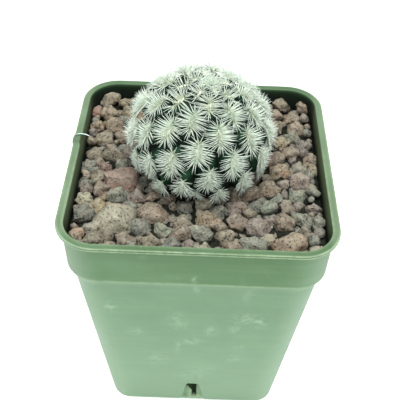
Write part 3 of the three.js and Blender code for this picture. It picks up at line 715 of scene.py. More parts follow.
def make_flash():
    """A thin sliver from the lip's nick into the mouth: an eight-sided tube along a gently arched line,
    its radius the middle one times the root of 1 less the square of the share along, which runs from -1
    to 1."""
    share = np.linspace(-0.98, 0.98, FLASH_ROWS)
    t = (share[:, None] + 1.0) / 2.0
    arch = np.array([0.0, 0.0, FLASH_RISE]) * (1.0 - share[:, None] ** 2)
    middle = FLASH_START + (FLASH_END - FLASH_START) * t + arch
    turn = full_turn(FLASH_COLUMNS)[:, None]
    way = unit(FLASH_END - FLASH_START)
    first = unit(np.cross(way, (0.0, 0.0, 1.0)))
    second = np.cross(way, first)
    wide = FLASH_RADIUS * np.sqrt(1.0 - share**2)[:, None, None]
    round_way = np.cos(turn) * first * FLASH_WIDENING - np.sin(turn) * second * FLASH_FLATTENING
    rings = middle[:, None] + wide * round_way
    points, faces = closed_skin(rings[:, ::-1], FLASH_START, FLASH_END)
    along = with_poles(np.repeat(t[:, 0], FLASH_COLUMNS), 0.0, 1.0)
    add_piece("rim_flash", points, faces, clear_flash(), "pot", {"along": along})


def drain_marks(along, z):
    """Painted shade in a drain, on its slot and a slanting hollow beside it, and painted light: on its
    outline, a cheek in the middle of its back, and its sill."""
    recess = drain_mask(along, z, 0.0, DRAIN_SOFTNESS)
    slanting = smooth((z - HOLLOW_Z + HOLLOW_SLANT * (along - HOLLOW_AT)) / 0.8)
    hollow = slanting * smooth((SLOT_AT + SLOT_HALF + 0.1 - along) / 0.2)
    drain_shade = recess * np.maximum(slot_mask(along, z, 0.25), hollow)
    cheek = np.exp(-(((along - CHEEK_AT) / CHEEK_REACH) ** 2)) * smooth(CHEEK_TOP_Z - z)
    on_sill = (np.abs(z - FLOOR_TOP - SILL_RISE) < SILL_BAND) & (np.abs(along - SILL_AT) < SILL_REACH)
    return drain_shade, np.maximum(recess * np.maximum(cheek * CHEEK_PAINTED_LIGHT, RECESS_PAINTED_LIGHT), on_sill)


def pot_attributes(rings, kink, row_z, outer_count):
    """Values that the plastic's colour reads: how far it takes the inside's painted shade, how pale its
    edges are from wear and painted light, its painted glow, and the painted shade in its crease.
    """
    x, y, z = rings[..., 0], rings[..., 1], rings[..., 2]
    along = np.where(np.abs(y) > np.abs(x), x, y)
    in_outer = (np.arange(len(rings)) < outer_count)[:, None]
    drain_shade, drain_light = drain_marks(along, z)
    row_painted_shade = np.ones(len(rings))
    row_worn_and_highlit = np.zeros(len(rings))
    for height, strength in PALE_EDGES_WORN_AND_HIGHLIT.items():
        row_worn_and_highlit[:outer_count][np.abs(row_z[:outer_count] - height) < SAME_HEIGHT] = strength
    lip_rows = slice(outer_count, outer_count + len(LIP_INSIDE))
    # The lip's inner rows take some of the inside's painted shade.
    row_painted_shade[lip_rows] = [row[2] for row in LIP_INSIDE]
    row_worn_and_highlit[lip_rows] = [row[3] for row in LIP_INSIDE]
    # The painted highlight on the lip's inner edge fades towards the back.
    inner_highlight_share = np.where(in_outer, 1.0, smooth((INNER_HIGHLIGHT_BACK_Y - y) / INNER_HIGHLIGHT_FADE))
    widest = np.maximum(np.abs(rings[..., :2]).max(-1), 1.0)
    # A painted glow on the outside towards each side's corners.
    painted_glow = rising(np.abs(along) / widest, PAINTED_GLOW_FROM, PAINTED_GLOW_OVER) * in_outer
    return {
        # 'inside' holds painted shade: the drains' dark outside and the nearly black inside.
        "inside": with_poles(np.where(in_outer, drain_shade, row_painted_shade[:, None]), 0.0, 1.0),
        "edge": with_poles(np.maximum(row_worn_and_highlit[:, None] * inner_highlight_share, drain_light * in_outer), 0.0, 0.0),
        "painted_glow": with_poles(painted_glow, 0.0, 0.0),
        # The bent lip's crease, where the plastic gets painted shade.
        "kink": with_poles(kink * (z > POT_HEIGHT - 0.9), 0.0, 0.0),
    }


def make_pot():
    """One skin: under the floor, round the foot ring, up the outside, over the lip and down inside."""
    outer, inner = outer_levels(), inner_levels()
    rings = np.concatenate([pot_rings(outer, outer_drains), pot_rings(inner, inner_drains)])
    kink = rim_kink(rings)
    rings[..., 0] -= KINK_BULGE * kink
    rings[..., 2] -= np.where(rings[..., 2] > POT_HEIGHT - 0.5, NICK_DEPTH * rim_nick(rings), 0.0)
    points, faces = closed_skin(rings, (0, 0, FOOT_RING_HEIGHT), (0, 0, FLOOR_TOP))
    row_z = np.array([level[2] for level in outer + inner])
    attributes = pot_attributes(rings, kink, row_z, len(outer))
    attributes["scuff"] = scuff_amount(points)
    add_piece("pot_shell", points, faces, pot_plastic(), "pot", attributes)


make_pot()
make_flash()

# ---- the gravel -------------------------------------------------------------------------------

# The corners of a twenty-faced stone, in the order in which their swells are drawn, and its faces.
T = (1.0 + math.sqrt(5.0)) / 2.0
STONE_CORNERS = np.array([
    (-T, 0, 1), (0, 1, T), (-1, T, 0), (1, T, 0), (0, 1, -T), (-T, 0, -1),
    (T, 0, 1), (0, -1, T), (-1, -T, 0), (0, -1, -T), (T, 0, -1), (1, -T, 0),
]) / math.sqrt(1.0 + T * T)
STONE_FACES = (
    (2, 0, 1), (2, 1, 3), (2, 3, 4), (2, 4, 5), (2, 5, 0), (3, 1, 6), (1, 0, 7), (0, 5, 8), (5, 4, 9),
    (4, 3, 10), (11, 6, 7), (11, 7, 8), (11, 8, 9), (11, 9, 10), (11, 10, 6), (7, 6, 1), (8, 7, 0),
    (9, 8, 5), (10, 9, 4), (6, 10, 3),
)

# Kinds of rock and their shares among the small stones.
KIND_SEED = 5
KIND_SHARES = {
    "pink": 0.28, "tan": 0.34, "mauve": 0.14, "red": 0.01, "grey": 0.13, "beige": 0.06, "sage": 0.04,
}
# Weathering: the ball that flat faces are blended with, the swell that makes up for what is broken off,
# and the broken faces, each at a share of a stone's reach between two limits.
BALL_REACH, STONE_GROWTH = 0.93, 1.06
BROKEN_FACES, BROKEN_LIMITS, BREAK_SHARPNESS = 9, (0.62, 0.9), 0.9
# Stones larger than this are rounder, are less deeply broken and have calmer hills.
BIG_STONE, BIG_STONE_CHANGE, BIG_ROUNDNESS = 2.9, 0.9, 0.84
BIG_LESS_BROKEN, BIG_CALM = 0.08, 0.4
CALM_SIZE, CALM_SHARE = 2.4, 0.9
# Hills, creases and pits on a stone: wavelength, seed and height. A crease runs where its wave crosses 0.
STONE_HILLS = ((3.2, 11, 0.17), (1.5, 12, 0.09))
CREASE_WAVE, CREASE_SEED, CREASE_WIDTH, CREASE_DEPTH = 2.2, 14, 0.3, 0.2
PIT_WAVE, PIT_SEED, PIT_DEPTH = 0.8, 13, 0.09
# The square with round corners that every stone is kept inside.
WALL_REACH, WALL_CORNER = 32.55, 7.6
# Parts that each edge of a stone is cut into, how round it is, how rough its hills are, and a seed.
NOTED_FORM = (10, 0.4, 1.0, 81)
PEBBLE_FORM = (6, 0.4, 1.0, 77)
GRIT_FORM = (2, 0.5, 0.8, 70)


def stone_template(parts):
    """Each of the twenty faces is cut into triangles, its edges into equal parts: weights of every point
    on the 12 corners, and the faces."""
    i, j = np.meshgrid(np.arange(parts + 1), np.arange(parts + 1), indexing="ij")
    keep = i + j <= parts
    i, j = i[keep], j[keep]
    number = -np.ones((parts + 1, parts + 1), int)
    number[i, j] = np.arange(len(i))
    up = (i + j) < parts
    down = (i + j) < parts - 1
    a, b = i[up], j[up]
    c, d = i[down], j[down]
    local = np.concatenate([
        np.stack([number[a, b], number[a + 1, b], number[a, b + 1]], -1),
        np.stack([number[c + 1, d], number[c + 1, d + 1], number[c, d + 1]], -1),
    ])
    weights = np.zeros((len(STONE_FACES), len(i), 12))
    for k, (p, q, r) in enumerate(STONE_FACES):
        weights[k, :, q] = i / parts
        weights[k, :, r] = j / parts
        weights[k, :, p] = 1.0 - (i + j) / parts
    flat = np.round(weights.reshape(-1, 12) * parts).astype(int)
    unique, where = np.unique(flat, axis=0, return_inverse=True)
    where = where.reshape(len(STONE_FACES), -1)
    return unique / parts, np.concatenate([numbers[local] for numbers in where])


def room_to_wall(x, y):
    """How far a point lies inside the round-cornered square that the stones keep to."""
    over_x, over_y = abs(x) - (STONE_REACH - STONE_CORNER), abs(y) - (STONE_REACH - STONE_CORNER)
    return STONE_CORNER - math.hypot(max(over_x, 0), max(over_y, 0)) - min(max(over_x, over_y), 0)


def spread_stones():
    """The noted stones, then smaller and smaller ones where they find room: x, y, width, depth; kinds."""
    draw = draws_from(STONE_SEED)
    kinds = np.random.default_rng(KIND_SEED)
    stones = [stone[:4] for stone in NOTED_STONES]
    rocks = [stone[4] for stone in NOTED_STONES]
    for size in FILLER_SIZES:
        for _ in range(TRIES_PER_SIZE):
            x = (draw() * 2 - 1) * STONE_REACH
            y = (draw() * 2 - 1) * STONE_REACH
            wide = size * (1 + WIDTH_SPREAD * (draw() - 0.5))
            deep = wide * (FLATTEST_STONE + (1 - FLATTEST_STONE) * draw())
            reach = (wide + deep) / 4
            if math.hypot(x - PLANT[0], y - PLANT[1]) <= ROOT_PROFILE[0][0] + reach * REACH_TO_PLANT:
                continue
            if room_to_wall(x, y) <= reach * REACH_TO_WALL:
                continue
            others = np.array(stones)
            needed = PACKING * (reach + (others[:, 2] + others[:, 3]) / 4)
            if np.all(np.hypot(x - others[:, 0], y - others[:, 1]) > needed):
                stones.append((x, y, wide, deep))
                rocks.append(str(kinds.choice(list(KIND_SHARES), p=list(KIND_SHARES.values()))))
    return np.array(stones), rocks


def stone_corner_points(stones):
    """The twelve corners of every stone, stones by 12 by 3: unit corners times their swells and half
    sizes, turned about Z, then lifted so that the stone's top is at its own height."""
    draw = draws_from(STONE_SEED + 1)
    result = []
    for x, y, wide, deep in stones:
        swells = np.array([STONE_SWELL * (1 + STONE_ROUGHNESS * (draw() - 0.5)) for _ in range(12)])
        turn = (draw() - 0.5) * STONE_TURN
        unevenness = LOWEST_STAND_OUT + STAND_OUT_SPREAD * draw()
        halves = [wide / 2, deep / 2, (wide + deep) / 2 * STONE_HALF_HEIGHT]
        corners = turned(STONE_CORNERS * swells[:, None] * halves, math.cos(turn), math.sin(turn))
        top = BED_TOP + min(wide, deep) * STONE_STAND_OUT * unevenness
        if math.hypot(x - PLANT[0], y - PLANT[1]) - max(wide, deep) / 2 < SPINE_SKIRT_RADIUS:
            top = min(top, STONES_UNDER_SPINES)
        result.append(corners + [x, y, top - corners[:, 2].max()])
    return np.array(result)


def kept_inside(points):
    """Points outside the wall's round-cornered square are pressed back to it: their part beyond the
    straight sides' middle square is cut down to the corner's radius."""
    flat = points[..., :2]
    straight = WALL_REACH - WALL_CORNER
    over = np.maximum(np.abs(flat) - straight, 0.0)
    reach = np.maximum(np.linalg.norm(over, axis=-1, keepdims=True), 1e-6)
    over = over * np.minimum(1.0, WALL_CORNER / reach)
    pressed = np.sign(flat) * (np.minimum(np.abs(flat), straight) + over)
    return np.concatenate([pressed, points[..., 2:]], -1)


def stone_lumps(points):
    """Uneven hills of two sizes, sharp creases and pitted grain, in shares of a millimetre."""
    creases = np.maximum(CREASE_WIDTH - np.abs(waves(points, CREASE_WAVE, CREASE_SEED)), 0.0)
    pits = np.abs(waves(points, PIT_WAVE, PIT_SEED))
    return hills(points, STONE_HILLS) - creases * CREASE_DEPTH - pits * PIT_DEPTH


def weathered(corners, parts, roundness, roughness, seed):
    """Stones from their corner points, stones by points by 3, and the faces of one stone. Flat faces are
    blended with a ball through the same corners, then cut by some broken faces beyond which points are
    pressed back, and at last lumps push every point out or in along its own way from the stone's
    middle."""
    weights, faces = stone_template(parts)
    middle = corners.mean(1, keepdims=True)
    spokes = corners - middle
    flat = np.einsum("vk,skc->svc", weights, spokes)
    reach = np.einsum("vk,sk->sv", weights, np.linalg.norm(spokes, axis=-1))
    away = unit(flat)
    size = np.linalg.norm(flat, axis=-1).mean(1)[:, None]
    big = rising(size, BIG_STONE, BIG_STONE_CHANGE)
    round_share = (roundness + (BIG_ROUNDNESS - roundness) * big)[..., None]
    shape = flat * (1.0 - round_share) + away * reach[..., None] * BALL_REACH * round_share
    shape = shape * STONE_GROWTH
    rng = np.random.default_rng(seed)
    for _ in range(BROKEN_FACES):
        normal = unit(rng.normal(size=(len(corners), 3)))
        limit = rng.uniform(*BROKEN_LIMITS, (len(corners), 1)) + BIG_LESS_BROKEN * big
        height = np.einsum("svc,sc->sv", shape, normal)
        over = np.maximum(height - limit * height.max(1, keepdims=True), 0.0)
        shape = shape - over[..., None] * normal[:, None] * BREAK_SHARPNESS
    calm = roughness * np.minimum(size, CALM_SIZE) * (CALM_SHARE - BIG_CALM * big)
    lumpy = shape + away * (stone_lumps(shape + middle) * calm)[..., None]
    return kept_inside(lumpy + middle), faces


ROCKS = {
    # colour, its darker parts, mineral stain, share of open pores, grain in millimetres
    "pink": ((0.27, 0.222, 0.158), (0.12, 0.094, 0.069), (0.3, 0.2, 0.135), 0.7, 0.75),
    "red": ((0.27, 0.175, 0.13), (0.12, 0.074, 0.056), (0.3, 0.155, 0.105), 0.6, 0.7),
    "tan": ((0.26, 0.23, 0.156), (0.115, 0.098, 0.066), (0.28, 0.2, 0.115), 0.8, 0.8),
    "beige": ((0.32, 0.31, 0.225), (0.18, 0.168, 0.12), (0.3, 0.25, 0.17), 0.7, 0.85),
    "grey": ((0.212, 0.222, 0.176), (0.085, 0.09, 0.07), (0.22, 0.2, 0.15), 0.8, 0.7),
    "sage": ((0.24, 0.265, 0.2), (0.12, 0.138, 0.102), (0.26, 0.245, 0.17), 0.5, 0.6),
    "mauve": ((0.232, 0.198, 0.165), (0.1, 0.082, 0.069), (0.255, 0.19, 0.145), 0.8, 0.7),
}


def rock_material(name, colour, shade, stain, pores, grain_mm):
    """Porous crushed rock: uneven tone, pores with painted shade, patches of mineral stain, a tint of its
    own on each stone, and painted shade deep down on each stone with painted light on its top."""
    material, n, shader = new_material("rock_" + name)
    where, tint = n.place(), n.painted("tint")
    grain = n.grain(where, grain_mm, pores)
    plain = n.mix(n.spread(grain["Tone"], 0.34, 0.62), shade, colour)
    lit = n.mix(n.spread(grain["Tone"], 0.52, 0.72), plain, shaded(colour, 1.5))
    patches = n.spread(n.noise(where, 190.0, 3.0, 0.6), 0.52, 0.66)
    stained = n.mix(n.times(patches, 0.6), lit, stain)
    # Painted shade in the open pores.
    pore_shaded = n.mix(n.times(grain["Pores"], 0.85), stained, shaded(shade, 0.3))
    dust = n.spread(n.noise(where, 2400.0, 2.0, 0.6), 0.58, 0.72, 0.0, 0.35)
    dusty = n.mix(dust, pore_shaded, (0.46, 0.43, 0.35))
    value = n.plus(0.765, n.times(tint, 0.36))
    strength = n.plus(0.8, n.times(tint, 0.3))
    toned = n.add("ShaderNodeHueSaturation", {"Color": dusty, "Value": value, "Saturation": strength})
    # Painted shade low on each stone, between the stones, and painted light on its top.
    depth = n.plus(n.painted("depth"), n.times(grain["Tone"], 0.5))
    depth_shade = n.spread(depth, 0.95, 1.6, 0.0, 0.92)
    top_light = n.mix(n.spread(depth, 0.75, 0.3, 0.0, 0.22), toned.outputs[0], (0.44, 0.42, 0.33))
    roughness = n.spread(grain["Tone"], 0.3, 0.7, 0.98, 0.84)
    set_surface(n, shader, n.mix(depth_shade, top_light, shaded(shade, 0.34)), roughness, 0.25)
    set_bump(n, shader, grain["Height"], 0.68, 1.0)
    return material


ROCK_MATERIALS = {name: rock_material(name, *values) for name, values in ROCKS.items()}


def split_by_rock(name, points, faces, rocks, tints):
    """One piece for each kind of rock. Points are stones by points by 3, and faces belong to one stone."""
    each = points.shape[1]
    for rock, material in ROCK_MATERIALS.items():
        chosen = np.array([kind == rock for kind in rocks])
        if not chosen.any():
            continue
        some = points[chosen]
        z = some[..., 2]
        top, low = z.max(1, keepdims=True), z.min(1, keepdims=True)
        # 'depth' is how far a point lies below its stone's top, read for the rock's painted shade and light.
        painted = {"tint": np.repeat(tints[chosen], each), "depth": 2.0 * (top - z) / (top - low)}
        skin, all_faces = some.reshape(-1, 3), [repeated_faces(faces, len(some), each)]
        add_piece(f"{name}_{rock}", skin, all_faces, material, "gravel", painted)


GRIT_SEED, GRIT_TRIES = 91, 3200
GRIT_ROOT_RADIUS = 12.2
GRIT_SIZES = (4.4, 3.7, 3.1, 2.6, 2.2)
GRIT_KINDS = ["pink", "tan", "mauve", "grey"]
GRIT_TINTS = (-0.2, 0.75)
# Shares of its size that grit keeps from walls, root, other grit and stones, and how far it goes under them.
GRIT_TO_WALL, GRIT_TO_ROOT, GRIT_TO_GRIT = 0.16, 0.4, 0.35
GRIT_TO_STONE, GRIT_UNDER_STONE = 0.3, 0.6
GRIT_SWELLS, GRIT_STRETCH, GRIT_STAND_OUT = (0.85, 1.25), (0.75, 1.1), (0.02, 0.36)
# Near the walls the grit is heaped up by this much.
WALL_HEAP, HEAP_FROM, HEAP_OVER = 1.6, 4.0, 2.0


def grit_corner_points(stones):
    """Smaller and smaller stones that fill the gaps where they find room clear of walls and root."""
    rng = np.random.default_rng(GRIT_SEED)
    result = []
    placed = np.array([(PLANT[0], PLANT[1], 0.0)])
    for size in GRIT_SIZES:
        for _ in range(GRIT_TRIES):
            x, y = rng.uniform(-STONE_REACH, STONE_REACH, 2)
            to_plant = math.hypot(x - PLANT[0], y - PLANT[1])
            near_root = to_plant < GRIT_ROOT_RADIUS + size * GRIT_TO_ROOT
            if near_root or room_to_wall(x, y) < size * GRIT_TO_WALL:
                continue
            clear = np.hypot(x - stones[:, 0], y - stones[:, 1]) - (stones[:, 2] + stones[:, 3]) / 4
            if clear.min() < size * GRIT_TO_STONE - GRIT_UNDER_STONE:
                continue
            if np.any(np.hypot(x - placed[:, 0], y - placed[:, 1]) < GRIT_TO_GRIT * (size + placed[:, 2])):
                continue
            swells = rng.uniform(*GRIT_SWELLS, 12)[:, None]
            corners = STONE_CORNERS * swells * size / 2 * rng.uniform(*GRIT_STRETCH, 3)
            heap = WALL_HEAP * smooth((HEAP_FROM - room_to_wall(x, y)) / HEAP_OVER)
            top = BED_TOP + size * rng.uniform(*GRIT_STAND_OUT) + heap
            result.append(corners + [x, y, top - corners[:, 2].max()])
            placed = np.concatenate([placed, [(x, y, size)]])
    return np.array(result)


def bed_material():
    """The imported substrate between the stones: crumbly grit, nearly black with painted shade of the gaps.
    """
    material, n, shader = new_material("bed_grit_painted_shade")
    grain = n.grain(n.place(), 1.1, 0.8)
    # Painted shade: nearly black, and blacker in the pores, so the gaps between the stones read dark.
    plain = n.mix(n.spread(grain["Tone"], 0.35, 0.65), (0.004, 0.006, 0.004), (0.022, 0.025, 0.017))
    colour = n.mix(grain["Pores"], plain, (0.001, 0.002, 0.001))
    set_surface(n, shader, colour, n.spread(grain["Tone"], 0.3, 0.7, 1.0, 0.88), 0.08)
    set_bump(n, shader, grain["Height"], 0.5, 1.0)
    return material


# The bed's outline above its even part, its rings over the top, and how far its top lies below the
# stones' level.
BED_LOW_TOP, BED_BODY_FROM, BED_BODY_CORNER, BED_BODY_ROWS = 13.0, 13.5, 5.6, 20
BED_COLLAR = ((32.4, 7.5, 68.5), (32.43, 7.52, 71.0), (32.46, 7.55, 72.6))
BED_TOP_RINGS, BED_SINK = 26, 0.2
BED_HILLS, BED_EDGE_CALM = ((3.0, 21, 0.35), (1.4, 22, 0.16)), 0.4


def bed_drains(along, z, half):
    """The bed's side: drawn in round the drain's wall with a clear gap."""
    inside = drain_mask(along, z, DRAIN_WALL + GAP, BED_DRAIN_SOFTNESS)
    return half + (FOOT_HALF - drain_depth(z) - DRAIN_WALL - GAP - half) * inside, z


def make_bed():
    """One skin: the bed's floor, its sides inside the pot's walls, its uneven top, and the hole that the
    root stands in. Over the top, rings go from the square outline to a round one about the plant in even
    shares."""
    bottom = FLOOR_TOP + GAP
    inset = WALL + GAP
    levels = [(body_half(z) - inset, FOOT_CORNER - inset, z) for z in np.arange(bottom, BED_LOW_TOP, 0.5)]
    body_from = (body_half(BED_BODY_FROM) - inset, BED_BODY_CORNER, BED_BODY_FROM)
    levels += levels_between(body_from, drawn_in(BODY_TOP, inset), BED_BODY_ROWS)
    levels += [drawn_in(level, inset) for level in (BODY_TOP, STEP_MIDDLE, COLLAR_LOW)]
    sides = pot_rings(levels + list(BED_COLLAR), bed_drains)
    rim = sides[-1].copy()
    angle = np.arctan2(rim[:, 1] - PLANT[1], rim[:, 0] - PLANT[0])
    mouth = round_plant(ROOT_PROFILE[0][0] + GAP, angle, BED_TOP)
    shares = np.linspace(0.03, 1.0, BED_TOP_RINGS)[:, None, None]
    top = rim + (mouth - rim) * shares
    uneven = hills(top, BED_HILLS) * np.sin(np.pi * shares[..., 0]) ** BED_EDGE_CALM
    top[..., 2] = BED_TOP - BED_SINK + uneven
    hole = [round_plant(radius + GAP, angle, z - GAP / 2) for radius, z in ROOT_PROFILE[1:]]
    rings = np.concatenate([sides, top, np.array(hole)])
    points, faces = closed_skin(rings, (0, 0, bottom), (PLANT[0], PLANT[1], ROOT_TIP_Z - GAP))
    add_piece("gravel_bed", points, faces, bed_material(), "gravel")


def make_gravel():
    """The bed, the top stones on the solids' own corner points, and grit in the gaps."""
    make_bed()
    stones, rocks = spread_stones()
    corners = stone_corner_points(stones)
    noted = len(NOTED_STONES)
    for number, lift in LIFTED_STONES:
        corners[number, :, 2] += lift
    draws = np.random.default_rng(8)
    tints = draws.uniform(0.0, 1.0, len(stones))
    groups = (("stones", slice(0, noted), NOTED_FORM), ("pebbles", slice(noted, None), PEBBLE_FORM))
    for name, some, form in groups:
        points, faces = weathered(corners[some], *form)
        split_by_rock(name, points, faces, rocks[some], tints[some])
    points, faces = weathered(grit_corner_points(stones), *GRIT_FORM)
    kinds = draws.choice(GRIT_KINDS, len(points))
    split_by_rock("grit", points, faces, list(kinds), draws.uniform(*GRIT_TINTS, len(points)))


make_gravel()

# ---- the plant --------------------------------------------------------------------------------

LEAN_COS, LEAN_SIN = math.cos(math.radians(LEAN_DEGREES)), math.sin(math.radians(LEAN_DEGREES))
LEAN = np.array([(LEAN_COS, 0.0, LEAN_SIN), (0.0, 1.0, 0.0), (-LEAN_SIN, 0.0, LEAN_COS)])
# Places of old areoles at the stones' level, which stand beside the solids' own ones, as do the first
# three, in the crown. The old ones lie deeper and are smaller.
LOW_PLACES = (67, 68, 69, 71, 74)
LOW_INSET, LOW_SIZE = 1.3, 0.62
PLACE_NUMBERS = np.arange(SPIRAL_COUNT)
IS_LOW = np.isin(PLACE_NUMBERS, LOW_PLACES)
IS_AREOLE = (PLACE_NUMBERS < AREOLE_COUNT) | IS_LOW


def spiral_places():
    """Places on the spiral. Place n lies 2.1 n less 0.005 n squared degrees down from the crown, turned
    by n golden angles; with it go the ways to the side and down, and its size beside the widest place."""
    n = PLACE_NUMBERS.astype(float)
    polar = np.radians(STEP_DOWN * n - STEP_SHRINK * n * n)
    turn = np.radians(FIRST_TURN - GOLDEN_ANGLE * n)
    out, up = np.sin(polar), np.cos(polar)
    direction = np.stack([out * np.sin(turn), -out * np.cos(turn), up], -1) @ LEAN.T
    side = np.stack([np.cos(turn), np.sin(turn), np.zeros_like(n)], -1) @ LEAN.T
    down = np.stack([up * np.sin(turn), -up * np.cos(turn), -out], -1) @ LEAN.T
    step = STEP_DOWN - 2 * STEP_SHRINK * n
    size = np.sqrt(np.maximum(step * out, 0) / (STEP_DOWN - 2 * STEP_SHRINK * WIDEST_PLACE))
    size = np.clip(size, SMALLEST_AREOLE, 1.0)
    size[IS_LOW] *= LOW_SIZE
    return direction, side, down, size


ALL_PLACES = spiral_places()
AREOLES = [part[IS_AREOLE] for part in ALL_PLACES]
AREOLE_RISE = np.where(IS_LOW, -LOW_INSET, CREST_RISE)[IS_AREOLE]
# Every other areole of the first eleven is young and has short spines.
IS_YOUNG = ((PLACE_NUMBERS < 11) & (PLACE_NUMBERS % 2 == 1))[IS_AREOLE]


def ball_reach(direction, inset):
    """How far the flattened ball's surface, drawn in by an inset, lies from its centre in a direction."""
    across = np.hypot(direction[..., 0], direction[..., 1]) / (BALL_RADIUS - inset)
    return 1.0 / np.hypot(across, direction[..., 2] / (BALL_HALF_HEIGHT - inset))


def crest_points(places, along, rise):
    """Points along millimetres down from each place's middle, rise millimetres above the ball."""
    direction, _, down, _ = places
    way = unit(direction + down * (along / BALL_RADIUS)[..., None])
    return way * ball_reach(way, -rise)[..., None] + PLANT


STEM_ROWS, STEM_COLUMNS = 190, 300
# A place on the far side of the ball is never the nearest one.
FAR_SIDE, NEVER_NEAREST = 0.2, 99.0
# In the crown the grooves grow shallower by a share, from a height on, over a further height.
CROWN_SHALLOWING, CROWN_FROM, CROWN_OVER = 0.72, 0.36, 0.34
# The flank's curve, and the small lift of the groove's own floor.
FLANK_POWER = 1.25
GROOVE_LIFT, GROOVE_FLOOR_FROM, GROOVE_FLOOR_WIDTH = 0.06, 0.85, 0.15
# Shares of the crest's rise at which the skin, the wool and the roots of the spines lie.
SKIN_RISE, WOOL_RISE, SPINE_ROOT_RISE = 0.6, 0.4, 0.5
SKIN_HILLS = ((2.2, 41, 0.07),)


def stem_surface():
    """The ball of the stem: for each direction the distances to the nearest crest and to the next one
    give how far it lies down the flank, 0 on a crest and 1 in a groove, and the flank falls to the
    groove's depth."""
    direction, side, down, size = ALL_PLACES
    heights = np.linspace(0.0, np.pi, STEM_ROWS + 2)[1:-1]
    polar, turn = np.meshgrid(heights, full_turn(STEM_COLUMNS), indexing="ij")
    ways = np.stack([np.sin(polar) * np.cos(turn), np.sin(polar) * np.sin(turn), np.cos(polar)], -1)
    poles = np.array([(0.0, 0.0, 1.0), (0.0, 0.0, -1.0)])
    flat = np.concatenate([ways.reshape(-1, 3), poles])
    sideways = (flat @ side.T) * BALL_RADIUS
    downways = (flat @ down.T) * BALL_RADIUS
    half = np.where(IS_AREOLE, AREOLE_LENGTH / 2, 0.0) * size
    far = np.hypot(sideways, np.maximum(np.abs(downways) - half, 0.0))
    far[flat @ direction.T < FAR_SIDE] = NEVER_NEAREST
    order = np.argpartition(far, 1, axis=1)[:, :2]
    near = np.take_along_axis(far, order, 1)
    nearest = order[np.arange(len(flat)), np.argmin(near, 1)]
    closest, second = near.min(1), near.max(1)
    flank = closest / np.maximum(0.5 * (closest + second), 1e-6)
    crown = np.clip(CROWN_WIDENING * np.hypot(flat[:, 0], flat[:, 1]), SHALLOWEST_GROOVE, 1.0)
    crown = crown * (1.0 - CROWN_SHALLOWING * rising(flat[:, 2], CROWN_FROM, CROWN_OVER))
    depth = GROOVE_DEPTH * np.where(flat[:, 2] > 0, crown, 1.0)
    top = np.where(IS_LOW, LOW_INSET, np.where(IS_AREOLE, -CREST_RISE * SKIN_RISE, BARE_INSET))[nearest]
    shaped = np.clip(flank, 0, 1) ** FLANK_POWER
    shaped = shaped - GROOVE_LIFT * rising(shaped, GROOVE_FLOOR_FROM, GROOVE_FLOOR_WIDTH)
    inset = top + (depth - top) * shaped + hills(flat * BALL_RADIUS, SKIN_HILLS)
    points = flat * ball_reach(flat, inset)[:, None] + PLANT
    rings = points[:-2].reshape(STEM_ROWS, STEM_COLUMNS, 3)[::-1]
    skin, faces = closed_skin(rings, points[-1], points[-2])
    groove = with_poles(shaped[:-2].reshape(STEM_ROWS, STEM_COLUMNS)[::-1], 1.0, shaped[-2])
    return skin, faces, groove


def stem_skin():
    """Dark blue-green skin with painted shade in the grooves and fine pale dots."""
    material, n, shader = new_material("stem_skin")
    where = n.place()
    patch = n.noise(where, 260.0, 4.0, 0.6)
    green = n.mix(n.spread(patch, 0.35, 0.65), (0.003, 0.02, 0.008), (0.013, 0.054, 0.025))
    # Painted shade in the grooves.
    deep = n.mix(n.spread(n.painted("groove"), 0.35, 1.0), green, (0.001, 0.006, 0.004))
    dots = n.spread(n.noise(where, 2900.0, 2.0, 0.5), 0.62, 0.74, 0.0, 0.35)
    dotted = n.mix(dots, deep, (0.16, 0.3, 0.19))
    set_surface(n, shader, dotted, n.spread(patch, 0.3, 0.7, 0.5, 0.66), 0.15)
    set_bump(n, shader, n.plus(patch, n.times(n.noise(where, 2200.0), 0.25)), 0.18, 0.7)
    return material


def wool():
    """Cream felt of the areoles, yellower and browner in patches."""
    material, n, shader = new_material("areole_wool")
    where = n.place()
    tuft = n.noise(where, 1500.0, 5.0, 0.75, 0.4)
    patch = n.noise(where, 150.0, 2.0, 0.5)
    cream = n.mix(n.spread(patch, 0.4, 0.62), (0.84, 0.9, 0.74), (0.86, 0.89, 0.73))
    felt = n.mix(n.spread(tuft, 0.35, 0.6), n.mix(0.4, cream, (0.4, 0.43, 0.3)), cream)
    set_surface(n, shader, felt, n.spread(tuft, 0.3, 0.7, 1.0, 0.85))
    shader.inputs["Sheen Weight"].default_value = 0.4
    set_bump(n, shader, tuft, 0.3, 1.0)
    return material


def spine_bone():
    """White bony spines, warmer and browner at the root, with fine lengthwise unevenness."""
    material, n, shader = new_material("spine_bone")
    where, along = n.place(), n.painted("along")
    patch = n.noise(where, 150.0, 2.0, 0.5)
    root = n.mix(n.spread(patch, 0.4, 0.62), (0.68, 0.76, 0.61), (0.69, 0.74, 0.57))
    shaft = n.mix(n.spread(along, 0.0, 0.6), root, (0.67, 0.77, 0.67))
    streak = n.spread(n.noise(where, 3200.0, 2.0, 0.5), 0.4, 0.7, 0.0, 0.18)
    set_surface(n, shader, n.mix(streak, shaft, (0.6, 0.66, 0.54)), n.spread(along, 0.0, 1.0, 0.6, 0.42))
    set_bump(n, shader, n.noise(where, 2600.0), 0.05, 0.4)
    return material


def root_bark():
    """Pale brown corky bark of the lower stem and root, dark green above the bed."""
    material, n, shader = new_material("root_bark")
    where = n.place()
    grain = n.grain(where, 1.4, 0.3)
    bark = n.mix(n.spread(grain["Tone"], 0.35, 0.65), (0.09, 0.06, 0.035), (0.27, 0.2, 0.12))
    colour = n.mix(n.spread(n.axes(where)[2], 0.0715, 0.0735), bark, (0.006, 0.018, 0.011))
    set_surface(n, shader, colour, n.spread(grain["Tone"], 0.3, 0.7, 0.95, 0.8))
    set_bump(n, shader, grain["Height"], 0.3, 0.8)
    return material


ROOT_ROWS, ROOT_COLUMNS = 60, 48
ROOT_HILLS = ((6.0, 51, 0.04),)


